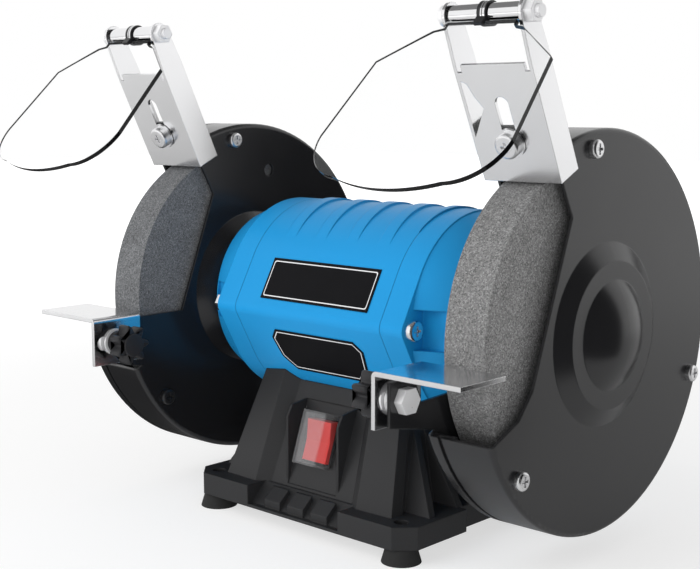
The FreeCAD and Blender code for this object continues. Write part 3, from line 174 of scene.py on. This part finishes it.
class GrinderStage(bpy.types.PropertyGroup):
    """Camera, light and floor."""

    film: FloatProperty(name="Film", description="Width of the film in millimetres", default=36.0, min=1)
    lens: FloatProperty(name="Lens", description="Focal length in millimetres", default=65.4, min=1)
    azimuth: angle("Azimuth", 42.85, "Camera turn to the right")
    elevation: angle("Elevation", 7.85, "Camera height angle")
    eye: FloatVectorProperty(name="Eye", description="Camera place", default=(0.41204, -0.46861, 0.19820),
                             size=3, subtype="TRANSLATION", unit="LENGTH")
    ambient: level("Ambient", 0.55, "Soft light from all round")
    key: level("Key light", 5.0, "Front lamp in watts")
    side: level("Side light", 6.0, "Right lamp in watts")
    fill: level("Fill light", 5.6, "Low left lamp in watts")
    floor_half: length("Floor half width", 4.0, "From the floor's middle to its edge")
    floor_near: length("Floor near", 0.3, "From the middle to where the floor starts to turn white")
    floor_far: length("Floor far", 1.2, "From the middle to where the floor is white")
    floor_glow: level("Floor glow", 0.62, "Glow of the near floor to the camera")
    floor_mirrored: level("Floor mirrored", 0.40, "Glow of the far floor in shiny surfaces")
    floor_bounce: level("Floor bounce", 0.22, "Glow of the floor that lights the machine from below")


class Tone:
    """A socket of a material that takes part in sums; adding nodes is done through it."""

    def __init__(self, tree, socket=None):
        self.tree = tree
        self.socket = socket

    def add(self, kind, settings=None, inputs=None, output=0):
        """Adds a node, sets it up, fills its sockets and gives one of its outputs."""
        node = self.tree.nodes.new(kind)
        for key, value in (settings or {}).items():
            setattr(node, key, value)
        for key, value in (inputs or {}).items():
            self.fill(node.inputs[key], value)
        return Tone(self.tree, node.outputs[output])

    def fill(self, socket, value):
        """Links a tone to a socket, or writes a plain value on it."""
        if isinstance(value, Tone):
            self.tree.links.new(value.socket, socket)
        elif socket.type == "RGBA":
            socket.default_value = (*value, 1)
        else:
            socket.default_value = value

    def sum(self, operation, first, second=None):
        """A Math node on tones or numbers."""
        inputs = {0: first} if second is None else {0: first, 1: second}
        return self.add("ShaderNodeMath", {"operation": operation}, inputs)

    def __add__(self, other):
        return self.sum("ADD", self, other)

    __radd__ = __add__

    def __mul__(self, other):
        return self.sum("MULTIPLY", self, other)

    __rmul__ = __mul__

    def __sub__(self, other):
        return self.sum("SUBTRACT", self, other)

    def __rsub__(self, other):
        return self.sum("SUBTRACT", other, self)

    def __truediv__(self, other):
        return self.sum("DIVIDE", self, other)

    def __lt__(self, other):
        return self.sum("LESS_THAN", self, other)

    def __gt__(self, other):
        return self.sum("GREATER_THAN", self, other)

    def __abs__(self):
        return self.sum("ABSOLUTE", self)

    def at_least(self, other):
        """The larger of two."""
        return self.sum("MAXIMUM", self, other)

    def eased(self, other, reach):
        """The larger of two, with a soft change over a given reach."""
        return self.add("ShaderNodeMath", {"operation": "SMOOTH_MAX"}, {0: self, 1: other, 2: reach})

    def place(self):
        """Place on the object, in metres."""
        return self.add("ShaderNodeTexCoord", output="Object")

    def axis(self, name):
        """X, Y or Z of the place on the object."""
        return self.add("ShaderNodeSeparateXYZ", None, {0: self.place()}, name)

    def dot(self, vector, direction):
        """How far a vector reaches along a direction."""
        inputs = {0: vector, 1: direction}
        return self.add("ShaderNodeVectorMath", {"operation": "DOT_PRODUCT"}, inputs, "Value")

    def facing(self, direction):
        """How much the surface looks along a direction, from -1 to 1."""
        return self.dot(self.add("ShaderNodeTexCoord", output="Normal"), direction)

    def stretched(self, scale):
        """The place on the object, scaled apart along each axis."""
        return self.add("ShaderNodeMapping", None, {"Vector": self.place(), "Scale": scale})

    def noise(self, scale, detail=3.0, vector=None):
        """Soft noise from 0 to 1."""
        inputs = {"Vector": vector or self.place(), "Scale": scale, "Detail": detail}
        return self.add("ShaderNodeTexNoise", None, inputs, "Fac")

    def grains(self, size, output):
        """Cells of about one size."""
        return self.add("ShaderNodeTexVoronoi", None, {"Vector": self.place(), "Scale": 1 / size}, output)

    def ramp(self, value, low, high):
        """A smooth step from 0 to 1 between two values."""
        settings = {"interpolation_type": "SMOOTHSTEP"}
        inputs = {"Value": value, "From Min": low, "From Max": high}
        return self.add("ShaderNodeMapRange", settings, inputs)

    def mix(self, factor, first, second):
        """A colour between two."""
        inputs = {MIX_FACTOR: factor, MIX_FIRST: first, MIX_SECOND: second}
        return self.add("ShaderNodeMix", {"data_type": "RGBA"}, inputs, MIX_RESULT)

    def mottled(self, cloud, shade, dark, light):
        """A colour that drifts between a darker and a lighter version of itself."""
        return self.mix(cloud, tint(shade, dark), tint(shade, light))

    def shades(self, value, stops):
        """A colour from a row of stops, each a place from 0 to 1 with its colour."""
        made = self.add("ShaderNodeValToRGB", None, {0: value}, "Color")
        row = made.socket.node.color_ramp.elements
        while len(row) < len(stops):
            row.new(0.5)
        for stop, (place, shade) in zip(row, stops):
            stop.position = place
            stop.color = (*shade, 1)
        return made

    def rounded(self, radius):
        """A normal that rolls over the edges."""
        return self.add("ShaderNodeBevel", {"samples": 4}, {"Radius": radius})

    def bump(self, height, distance, strength, edge=0.0):
        """A normal that follows a height, over rounded edges where a radius is given."""
        inputs = {"Height": height, "Distance": distance, "Strength": strength}
        if edge:
            inputs["Normal"] = self.rounded(edge)
        return self.add("ShaderNodeBump", None, inputs)


def tint(shade, factor):
    """A lighter or darker version of a colour."""
    return tuple(min(1.0, part * factor) for part in shade)


def grey(value):
    """A colour without a hue."""
    return (value, value, value)


class Finish:
    """A new material; constant sockets of its shader are given by name, with spaces for underscores."""

    def __init__(self, name, **sockets):
        self.material = bpy.data.materials.new(name)
        self.material.use_nodes = True
        self.shader = self.material.node_tree.nodes["Principled BSDF"]
        self.tone = Tone(self.material.node_tree)
        self.set(**sockets)

    def set(self, **sockets):
        """Writes or links sockets of the shader, and gives the material."""
        for key, value in sockets.items():
            self.tone.fill(self.shader.inputs[key.replace("_", " ")], value)
        return self.material


def share(tone, name, axis):
    """How far a place lies from a CAD node's low side to its high side along an axis, from 0 to 1."""
    low, high = (getattr(corner, axis.lower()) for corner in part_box(name))
    return (tone.axis(axis) - low) / (high - low)


def sheet_normal(name):
    """Which way the largest face of a CAD node looks."""
    return max(NODES[name].data.polygons, key=lambda face: face.area).normal.copy()


def housing_paint(paint, sizes):
    """Semi-gloss paint with a faint orange peel and a thin line at each end bell's seam."""
    coat = Finish("housing_paint", IOR=1.5, Specular_IOR_Level=0.16)
    tone = coat.tone
    seam_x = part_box("motor_housing")[1].x
    seam = abs(abs(tone.axis("X")) - seam_x) < sizes.seam / 2
    seam_shade, seam_dip = 0.35, 3.0
    body = tone.mottled(tone.noise(26.0), paint.housing, 0.95, 1.05)
    peel = tone.noise(900.0, detail=2.0) - seam * seam_dip
    return coat.set(Base_Color=tone.mix(seam * seam_shade, body, tint(paint.housing, 0.2)),
                    Roughness=0.34 + 0.10 * tone.noise(60.0),
                    Normal=tone.bump(peel, distance=0.00003, strength=0.4, edge=sizes.soft_edge))


def moulded(name, shade, rough, grain, depth, edge=0.0):
    """Moulded plastic, rubber or pressed paper with a fine sparked grain and soft edges."""
    skin = Finish(name, IOR=1.48, Specular_IOR_Level=0.3)
    tone = skin.tone
    spark, spread = tone.noise(1 / grain, detail=2.0), 0.12
    return skin.set(Base_Color=tone.mottled(tone.noise(30.0), shade, 0.88, 1.12),
                    Roughness=rough - spread / 2 + spread * spark,
                    Normal=tone.bump(spark, distance=depth, strength=0.6, edge=edge))


def guard_paint(paint, sizes):
    """Smooth black enamel, slightly uneven, with soft edges."""
    coat = Finish("guard_paint", IOR=1.5, Specular_IOR_Level=0.62)
    tone = coat.tone
    ripple = tone.noise(1400.0, detail=2.0)
    return coat.set(Base_Color=tone.mottled(tone.noise(18.0), paint.guard, 0.9, 1.1),
                    Roughness=0.20 + 0.08 * tone.noise(45.0),
                    Normal=tone.bump(ripple, distance=0.00001, strength=0.3, edge=sizes.soft_edge))


def abrasive(name, shade, sizes):
    """Bonded grit: grains of different greys with small pits."""
    grit = Finish(name, IOR=1.45, Specular_IOR_Level=0.2)
    tone = grit.tone
    grain = tone.add("ShaderNodeSeparateColor", None, {0: tone.grains(sizes.grain, "Color")}, 0)
    pit = tone.grains(sizes.grain, "Distance")
    blotch = tone.noise(140.0, detail=4.0)
    stops = [(place, tint(shade, factor)) for place, factor in GRIT_SHADES]
    return grit.set(Base_Color=tone.shades(grain * 0.75 + blotch * 0.25, stops),
                    Roughness=0.75 + 0.2 * grain,
                    Normal=tone.bump(pit + 0.5 * grain, distance=0.0002, strength=0.6))


def plated(name, shade, rough, edge=0.0, lines=(40.0, 900.0, 900.0), shine=1.0):
    """Plated or bare metal with faint lines, scaled apart along each axis; a dull plating shines less."""
    metal = Finish(name, Metallic=shine)
    tone = metal.tone
    line = tone.noise(1.0, detail=2.0, vector=tone.stretched(lines))
    cloud = tone.noise(55.0)
    return metal.set(Base_Color=tone.mottled(cloud, shade, 0.95, 1.03),
                     Roughness=rough + 0.05 * line + 0.04 * cloud,
                     Normal=tone.bump(line, distance=0.000004, strength=0.2, edge=edge))


def shield_sheet_with_painted_edges(paint, name):
    """Clear sheet with the faintest haze; its cut edges carry a painted dark line, thinner towards the left,
    as painted shade.
    """
    sheet = Finish(name + "_sheet", IOR=1.46, Specular_IOR_Level=0.25)
    tone = sheet.tone
    haze = tone.noise(40.0)
    across = sheet_normal(name)
    depths = [vert.co.dot(across) for vert in NODES[name].data.vertices]
    bottom, top = min(depths), max(depths)
    # The painted shade on the cut edges is thin at the left and full width from thick_start on.
    thin, thin_end, thick_start = 0.38, 0.1, 0.7
    thick = thin + (1.0 - thin) * tone.ramp(share(tone, name, "X"), thin_end, thick_start)
    line = tone.dot(tone.place(), across) < thick * (top - bottom) + bottom
    # Painted shade: the cut edges are near black and opaque.
    edge = (abs(tone.facing(across)) < 0.5) * line
    return sheet.set(Base_Color=tone.mix(edge, paint.shield, tint(paint.knob, 0.3)),
                     Roughness=0.05 + 0.04 * haze,
                     Alpha=(0.02 + 0.02 * haze).at_least(edge))


def clip_finish(paint, name):
    """Black clip with bright rings let into its right half."""
    clip = Finish(name + "_finish", IOR=1.48)
    tone = clip.tone
    across = share(tone, name, "X")
    apart = abs(across - RINGS_GAP) > RINGS_GAP_HALF
    ring = (across > RINGS_FROM) * apart * (across < RINGS_TO) * (share(tone, name, "Z") > RINGS_FOOT)
    cloud = tone.noise(300.0)
    black = tone.mottled(cloud, paint.knob, 0.8, 1.2)
    return clip.set(Base_Color=tone.mix(ring, black, paint.chrome),
                    Metallic=ring,
                    Roughness=0.35 - 0.28 * ring + 0.05 * cloud)


def washer_with_painted_shade(paint, sizes):
    """Zinc washer whose side next to the bracket, which lies in the dark, is painted black as painted shade.
    """
    out = sheet_normal("right_shield_bracket")
    out = out if out.y < 0 else -out
    reach = max(vert.co.dot(out) for vert in NODES["bracket_washers"].data.vertices)
    washer = Finish("washer_zinc", IOR=1.48)
    tone = washer.tone
    # Only the outer face is zinc; the rest of the washer is painted black as painted shade.
    zinc = tone.dot(tone.place(), out) > reach - sizes.washer_face
    return washer.set(Base_Color=tone.mix(zinc, paint.knob, paint.bright),
                      Metallic=zinc,
                      Roughness=0.16 + 0.08 * tone.noise(300.0))


def cover_screw_with_painted_shade(paint, sizes):
    """Zinc screws; the low front one at the left is painted black as painted shade."""
    screw = Finish("cover_screw_zinc")
    tone = screw.tone
    right, high, behind = tone.axis("X") > 0.0, tone.axis("Z") > SHAFT_Z, tone.axis("Y") > 0.0
    # Zinc everywhere but at the low front screw on the left, which is painted black as painted shade.
    zinc = right.at_least(high).at_least(behind)
    cloud = tone.noise(200.0)
    bright = tone.mottled(cloud, paint.bright, 0.95, 1.0)
    return screw.set(Base_Color=tone.mix(zinc, paint.knob, bright),
                     Metallic=zinc,
                     Roughness=0.28 + 0.06 * cloud,
                     Normal=tone.rounded(sizes.sheet_edge))


def switch_hood(paint, sizes):
    """Soft clear cover: hazy over the left of its front, clear at its right and at its sides."""
    hood = Finish("switch_hood", IOR=1.46)
    tone = hood.tone
    front = tone.ramp(abs(tone.facing(sheet_normal("switch_cover"))), 0.6, 0.9)
    strip = tone.ramp(tone.axis("X"), sizes.hood_clear, sizes.hood_clear + sizes.hood_fade)
    hazy = front * (1.0 - strip)
    haze = tone.noise(500.0)
    return hood.set(Base_Color=tone.mottled(haze, paint.hood, 0.93, 1.0),
                    Roughness=0.30 + 0.15 * haze,
                    Alpha=0.03 + hazy * (0.08 + 0.06 * haze))


def rocker_plastic(paint, sizes):
    """Glossy red plastic."""
    skin = Finish("rocker_plastic", IOR=1.5, Specular_IOR_Level=0.3)
    tone = skin.tone
    cloud = tone.noise(120.0)
    return skin.set(Base_Color=tone.mottled(cloud, paint.rocker, 0.93, 1.07),
                    Roughness=0.28 + 0.1 * cloud,
                    Normal=tone.rounded(sizes.sheet_edge))


def plate_finish(name, side, soft, paint, sizes):
    """Black plate with a thin pale line inside its edge, whose corners may be soft."""
    low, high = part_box(name)
    plate = Finish(name + "_print", IOR=1.5, Specular_IOR_Level=0.05)
    tone = plate.tone
    x = abs(tone.axis("X") - (low.x + high.x) / 2)
    z = tone.axis("Z") - SHAFT_Z
    edge = (side[0][1] - z).eased(z - side[-1][1], soft)
    for (x0, z0), (x1, z1) in zip(side, side[1:]):
        run = Vector((z1 - z0, x0 - x1)).normalized()
        edge = edge.eased((x - x0) * run.x + (z - z0) * run.y, soft)
    line = abs(edge + sizes.plate_inset) < sizes.plate_line / 2
    cloud = tone.noise(80.0)
    black = tone.mottled(cloud, paint.plate, 0.85, 1.2)
    return plate.set(Base_Color=tone.mix(line, black, paint.border), Roughness=0.30 + 0.12 * cloud)


def dress(material, *names):
    """Gives CAD nodes a finish."""
    for name in names:
        slots = NODES[name].data.materials
        slots.clear()
        slots.append(material)


def both(*names):
    """Names for the left and the right side."""
    return [side + name for side in ("left_", "right_") for name in names]


def paint_and_sizes(context):
    """The colours and sizes that a user can change."""
    return context.scene.grinder_paint, context.scene.grinder_sizes


def new_object(name, shape, material):
    """An object of a finished bmesh, in the scene."""
    bmesh.ops.remove_doubles(shape, verts=shape.verts, dist=SAME_PLACE)
    bmesh.ops.recalc_face_normals(shape, faces=shape.faces)
    for face in shape.faces:
        face.smooth = True
    mesh = bpy.data.meshes.new(name)
    shape.to_mesh(mesh)
    shape.free()
    mesh.materials.append(material)
    thing = bpy.data.objects.new(name, mesh)
    bpy.context.scene.collection.objects.link(thing)
    return thing


def disc(shape, start, end, radius, end_radius):
    """A closed round body along X, from one place and radius to another."""
    place = Matrix.Translation(((start + end) / 2, 0, 0)) @ ALONG_X
    made = bmesh.ops.create_cone(shape, cap_ends=True, segments=DISC_SEGMENTS, radius1=radius,
                                 radius2=end_radius, depth=end - start, matrix=place)
    return made["verts"]


def round_off(shape, edges, offset):
    """Rounds edges."""
    bmesh.ops.bevel(shape, geom=edges, offset=offset, offset_type="OFFSET", segments=ROUND_SEGMENTS,
                    profile=0.5, affect="EDGES", material=-1)


def end_edges(shape, x):
    """Edges that lie in the plane at one place along X."""
    return [edge for edge in shape.edges if all(abs(vert.co.x - x) < SAME_PLACE for vert in edge.verts)]


class GRINDER_OT_motor(bpy.types.Operator):
    """Motor housing, end bells, name plates and their fasteners"""

    bl_idname = "grinder.motor"
    bl_label = "Motor"

    def execute(self, context):
        paint, sizes = paint_and_sizes(context)
        dress(housing_paint(paint, sizes), "motor_housing", "left_end_bell", "right_end_bell")
        plates = {"upper_name_plate": (UPPER_PLATE, sizes.plate_soft), "lower_name_plate": (LOWER_PLATE, 0.0)}
        for name, (side, soft) in plates.items():
            dress(plate_finish(name, side, soft, paint, sizes), name)
        zinc = plated("tie_bolt_zinc", paint.bright, rough=0.14, edge=sizes.sheet_edge)
        dress(zinc, "tie_bolts", "tie_nuts")
        return {"FINISHED"}


class GRINDER_OT_inside(bpy.types.Operator):
    """Shaft, bearings, windings and other pieces inside"""

    bl_idname = "grinder.inside"
    bl_label = "Inside"

    def execute(self, context):
        paint = context.scene.grinder_paint
        dress(plated("turned_steel", paint.steel, rough=0.3),
              "rotor_shaft", "inner_flanges", "outer_flanges", "wheel_nuts", "bottom_plate", "bottom_screws",
              "housing_screws", "guard_screws", "capacitor_clip")
        dress(plated("bearing_steel", paint.bright, rough=0.12),
              "bearing_outer_rings", "bearing_inner_rings", "bearing_balls")
        dress(plated("laminations", tint(paint.steel, 0.6), rough=0.45, lines=(4000.0, 20.0, 20.0)),
              "stator_core", "rotor_core")
        dress(plated("winding_copper", paint.copper, rough=0.35, lines=(60.0, 2200.0, 2200.0)),
              "stator_windings")
        dress(plated("capacitor_can", tint(paint.bright, 0.9), rough=0.32), "capacitor")
        dress(moulded("blotter_paper", paint.paper, rough=0.85, grain=0.0004, depth=0.00005),
              "wheel_blotters")
        return {"FINISHED"}


class GRINDER_OT_base(bpy.types.Operator):
    """Moulded base, rubber feet and cable gland"""

    bl_idname = "grinder.base"
    bl_label = "Base"

    def execute(self, context):
        paint, sizes = paint_and_sizes(context)
        edge = sizes.soft_edge
        dress(moulded("base_plastic", paint.base, rough=0.46, grain=0.0006, depth=0.00005, edge=edge), "base")
        dress(moulded("foot_rubber", paint.rubber, rough=0.72, grain=0.0009, depth=0.00008, edge=edge),
              "rubber_feet", "cable_gland")
        return {"FINISHED"}


class GRINDER_OT_switch(bpy.types.Operator):
    """Rocker switch under its clear hood"""

    bl_idname = "grinder.switch"
    bl_label = "Switch"

    def execute(self, context):
        paint, sizes = paint_and_sizes(context)
        edge = sizes.sheet_edge
        dress(moulded("switch_plastic", paint.knob, rough=0.4, grain=0.0005, depth=0.00003, edge=edge),
              "switch_body")
        dress(rocker_plastic(paint, sizes), "switch_rocker")
        dress(switch_hood(paint, sizes), "switch_cover")
        return {"FINISHED"}


class GRINDER_OT_guards(bpy.types.Operator):
    """Wheel guards and their screws"""

    bl_idname = "grinder.guards"
    bl_label = "Guards"

    def execute(self, context):
        paint, sizes = paint_and_sizes(context)
        dress(guard_paint(paint, sizes), *both("guard_inner", "guard_cover"))
        dress(cover_screw_with_painted_shade(paint, sizes), "cover_screws")
        return {"FINISHED"}


class GRINDER_OT_wheels(bpy.types.Operator):
    """Grinding wheels"""

    bl_idname = "grinder.wheels"
    bl_label = "Wheels"

    def execute(self, context):
        paint, sizes = paint_and_sizes(context)
        dress(abrasive("coarse_grit", paint.coarse, sizes), "right_wheel")
        dress(abrasive("fine_grit", paint.fine, sizes), "left_wheel")
        return {"FINISHED"}


class GRINDER_OT_rests(bpy.types.Operator):
    """Tool rests and their clamps"""

    bl_idname = "grinder.rests"
    bl_label = "Tool rests"

    def execute(self, context):
        paint, sizes = paint_and_sizes(context)
        edge = sizes.sheet_edge
        dress(plated("rest_plating", tint(paint.bright, 0.85), rough=0.10, edge=edge), *both("tool_rest"))
        dress(plated("clamp_zinc", paint.bright, rough=0.24, edge=edge, shine=0.45),
              "rest_bolts", "rest_spacers", "rest_washers")
        return {"FINISHED"}


class GRINDER_OT_knobs(bpy.types.Operator):
    """Star knobs that clamp the tool rests"""

    bl_idname = "grinder.knobs"
    bl_label = "Star knobs"

    def execute(self, context):
        paint, sizes = paint_and_sizes(context)
        skin = moulded("knob_plastic", tint(paint.knob, 1.8), rough=0.38, grain=0.0006, depth=0.00003)
        for side, outward in (("left", 1), ("right", -1)):
            self.knob(side, outward, sizes, skin)
        return {"FINISHED"}

    def knob(self, side, outward, sizes, skin):
        """One knob: a neck, a lobed head and a dished cap, made along X and then put against its rest."""
        low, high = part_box(side + "_knob")
        depth = high.x - low.x
        shape = bmesh.new()
        head = self.head(shape, sizes)
        disc(shape, 0.0, depth - sizes.knob_head, sizes.knob_neck, sizes.knob_neck)
        cap = disc(shape, depth - sizes.cap_depth, depth, sizes.knob_cap + sizes.cap_slope, sizes.knob_cap)
        place = Matrix.Translation((depth - sizes.knob_head - sizes.cap_proud, 0, 0))
        bmesh.ops.transform(shape, matrix=place, verts=head)
        round_off(shape, end_edges(shape, depth), sizes.cap_round)
        faces = [face for vert in cap if vert.is_valid for face in vert.link_faces]
        top = max(faces, key=lambda face: face.calc_center_median().x)
        bmesh.ops.inset_region(shape, faces=[top], thickness=sizes.dish_rim, depth=-sizes.dish_depth)
        middle = (low + high) / 2
        face_x = low.x if outward > 0 else high.x
        put = Matrix.Translation((face_x, middle.y, middle.z)) @ Matrix.Diagonal((outward, 1, 1, 1))
        bmesh.ops.transform(shape, matrix=put, verts=shape.verts)
        knob = new_object(side + "_star_knob", shape, skin)
        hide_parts(side + "_knob")
        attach(knob, side + "_clamp")

    def head(self, shape, sizes):
        """The lobed head: a round outline pushed into waves, pulled out along X and rounded."""
        ring = bmesh.ops.create_circle(shape, cap_ends=True, segments=sizes.knob_lobes * LOBE_SEGMENTS,
                                       radius=1.0, matrix=ALONG_X)["verts"]
        for vert in ring:
            turn = Vector((vert.co.y, vert.co.z)).angle_signed(Vector((1, 0)))
            vert.co *= sizes.knob_core + sizes.knob_wave * cos(sizes.knob_lobes * turn)
        face = ring[0].link_faces[0]
        made = bmesh.ops.extrude_face_region(shape, geom=[face], use_keep_orig=True)["geom"]
        far = [item for item in made if isinstance(item, bmesh.types.BMVert)]
        bmesh.ops.translate(shape, verts=far, vec=(sizes.knob_head, 0, 0))
        rim = end_edges(shape, 0.0) + end_edges(shape, sizes.knob_head)
        round_off(shape, rim, sizes.knob_round)
        return list(shape.verts)


class GRINDER_OT_shields(bpy.types.Operator):
    """Shield brackets, hinges and clear eye shields"""

    bl_idname = "grinder.shields"
    bl_label = "Eye shields"

    def execute(self, context):
        paint, sizes = paint_and_sizes(context)
        edge = sizes.sheet_edge
        dress(plated("bracket_plating", paint.bright, rough=0.14, edge=edge), *both("shield_bracket"))
        dress(plated("hinge_chrome", paint.chrome, rough=0.04), *both("hinge_sleeves"))
        dress(plated("hinge_zinc", paint.bright, rough=0.30, edge=edge, shine=0.4),
              *both("hinge_bolt", "hinge_nut"))
        dress(plated("bracket_screw_zinc", paint.bright, rough=0.26, edge=edge),
              "bracket_screws", "bracket_nuts")
        dress(washer_with_painted_shade(paint, sizes), "bracket_washers")
        for name in both("shield_clip"):
            dress(clip_finish(paint, name), name)
        for name in both("eye_shield"):
            dress(shield_sheet_with_painted_edges(paint, name), name)
        return {"FINISHED"}


class GRINDER_OT_stage(bpy.types.Operator):
    """Floor, dark cards, lamps, world and camera"""

    bl_idname = "grinder.stage"
    bl_label = "Studio"

    def execute(self, context):
        scene, stage = context.scene, context.scene.grinder_stage
        self.floor(stage)
        for name, (place, turn, half, glow) in FLAGS.items():
            self.flag(name, Matrix.LocRotScale(place, Euler(turn), None), half, glow)
        self.world(scene, stage)
        for name, (setting, place, width) in LAMPS.items():
            self.lamp(name, getattr(stage, setting), place, width)
        self.camera(scene, stage)
        return {"FINISHED"}

    def rays(self, tone):
        """Rays from the camera or through something clear, and rays from something shiny, each as 0 or 1."""
        camera = tone.add("ShaderNodeLightPath", output="Is Camera Ray")
        through = tone.add("ShaderNodeLightPath", output="Is Transmission Ray")
        gloss = tone.add("ShaderNodeLightPath", output="Is Glossy Ray")
        return camera.at_least(through), gloss

    def floor(self, stage):
        """Pale floor that looks white to the camera, keeps the shadow and throws light back up."""
        paper = Finish("floor_paper", Roughness=0.9, Specular_IOR_Level=0.1, Emission_Strength=1.0)
        tone = paper.tone
        seen, gloss = self.rays(tone)
        away = tone.add("ShaderNodeVectorMath", {"operation": "LENGTH"}, {0: tone.place()}, "Value")
        far = tone.ramp(away, stage.floor_near, stage.floor_far)
        to_camera = seen * (stage.floor_glow + (1.0 - stage.floor_glow) * far)
        to_shine = gloss * far * stage.floor_mirrored
        to_rest = (1.0 - seen.at_least(gloss)) * stage.floor_bounce
        glow = to_camera + to_shine + to_rest
        pale = tone.mix(tone.noise(3.0), *map(grey, FLOOR_SEEN))
        x, y = tone.axis("X"), tone.axis("Y")
        dark = tone.ramp(DARK_X - x, 0.0, DARK_FADE) * tone.ramp(y - DARK_Y, 0.0, DARK_FADE)
        dim = tone.ramp(DIM_X - x, 0.0, DIM_FADE)
        mirrored = tone.mix(dark, tone.mix(dim, grey(FLOOR_PLAIN), grey(FLOOR_DIM)), grey(FLOOR_DARK))
        bounced = tone.mix(gloss, grey(FLOOR_PLAIN), mirrored)
        paper.set(Base_Color=tone.mix(seen, bounced, pale),
                  Emission_Color=tone.add("ShaderNodeCombineColor", None, {0: glow, 1: glow, 2: glow}))
        shape = bmesh.new()
        bmesh.ops.create_grid(shape, x_segments=1, y_segments=1, size=stage.floor_half)
        new_object("floor", shape, paper.material)

    def flag(self, name, place, half, glow):
        """A dark card that only shows in shiny surfaces."""
        cloth = Finish(name + "_cloth", Roughness=1.0, Specular_IOR_Level=0.0, Base_Color=grey(0.0),
                       Emission_Strength=glow)
        cloth.set(Emission_Color=cloth.tone.mix(cloth.tone.noise(60.0), grey(0.9), grey(1.0)))
        shape = bmesh.new()
        bmesh.ops.create_grid(shape, x_segments=1, y_segments=1, size=half, matrix=place)
        flag = new_object(name, shape, cloth.material)
        flag.visible_camera = flag.visible_diffuse = False
        flag.visible_transmission = flag.visible_shadow = False

    def world(self, scene, stage):
        """White to the camera and in reflections, softer as light on the object."""
        world = bpy.data.worlds.new("studio")
        world.use_nodes = True
        tone = Tone(world.node_tree)
        seen, gloss = self.rays(tone)
        back = world.node_tree.nodes["Background"]
        back.inputs["Color"].default_value = (1, 1, 1, 1)
        tone.fill(back.inputs["Strength"], seen.at_least(gloss) * (1.0 - stage.ambient) + stage.ambient)
        scene.world = world

    def lamp(self, name, power, place, width):
        """A square soft lamp aimed at the machine."""
        light = bpy.data.lights.new(name, "AREA")
        light.energy = power
        light.size = width
        lamp = bpy.data.objects.new(name, light)
        lamp.location = place
        aim = Vector((0, 0, SHAFT_Z)) - Vector(place)
        lamp.rotation_euler = aim.to_track_quat("-Z", "Y").to_euler()
        lamp.visible_glossy = False
        bpy.context.scene.collection.objects.link(lamp)

    def camera(self, scene, stage):
        """Camera at the photograph's place and angle."""
        film = bpy.data.cameras.new("camera")
        film.sensor_width = stage.film
        film.sensor_fit = "HORIZONTAL"
        film.lens = stage.lens
        film.clip_start = 0.01
        eye = bpy.data.objects.new("camera", film)
        turn, rise = stage.azimuth, stage.elevation
        ahead = Vector((-sin(turn) * cos(rise), cos(turn) * cos(rise), -sin(rise)))
        eye.location = stage.eye
        eye.rotation_euler = ahead.to_track_quat("-Z", "Y").to_euler()
        scene.collection.objects.link(eye)
        scene.camera = eye
        scene.view_settings.view_transform = "Standard"


class GRINDER_PT_panel(bpy.types.Panel):
    """Lists the grinder's settings and operators."""

    bl_idname = "GRINDER_PT_panel"
    bl_label = "Bench grinder"
    bl_space_type = "VIEW_3D"
    bl_region_type = "UI"
    bl_category = "Grinder"

    def draw(self, context):
        layout = self.layout
        for operator in OPERATORS:
            layout.operator(operator.bl_idname)
        for group in GROUPS:
            settings = getattr(context.scene, group)
            box = layout.box()
            for key in settings.__annotations__:
                box.prop(settings, key)


OPERATORS = (
    GRINDER_OT_motor,
    GRINDER_OT_inside,
    GRINDER_OT_base,
    GRINDER_OT_switch,
    GRINDER_OT_guards,
    GRINDER_OT_wheels,
    GRINDER_OT_rests,
    GRINDER_OT_knobs,
    GRINDER_OT_shields,
    GRINDER_OT_stage,
)
GROUPS = {"grinder_paint": GrinderPaint, "grinder_sizes": GrinderSizes, "grinder_stage": GrinderStage}


def register():
    """Adds the add-on's classes to Blender."""
    for name, group in GROUPS.items():
        bpy.utils.register_class(group)
        setattr(bpy.types.Scene, name, PointerProperty(type=group))
    for operator in OPERATORS:
        bpy.utils.register_class(operator)
    bpy.utils.register_class(GRINDER_PT_panel)


def unregister():
    """Takes the add-on's classes out of Blender."""
    bpy.utils.unregister_class(GRINDER_PT_panel)
    for operator in reversed(OPERATORS):
        bpy.utils.unregister_class(operator)
    for name, group in reversed(GROUPS.items()):
        delattr(bpy.types.Scene, name)
        bpy.utils.unregister_class(group)


def main():
    """Builds the whole scene."""
    register()
    for operator in OPERATORS:
        name = operator.bl_idname.split(".")[1]
        getattr(bpy.ops.grinder, name)()


if __name__ == "__main__":
    main()
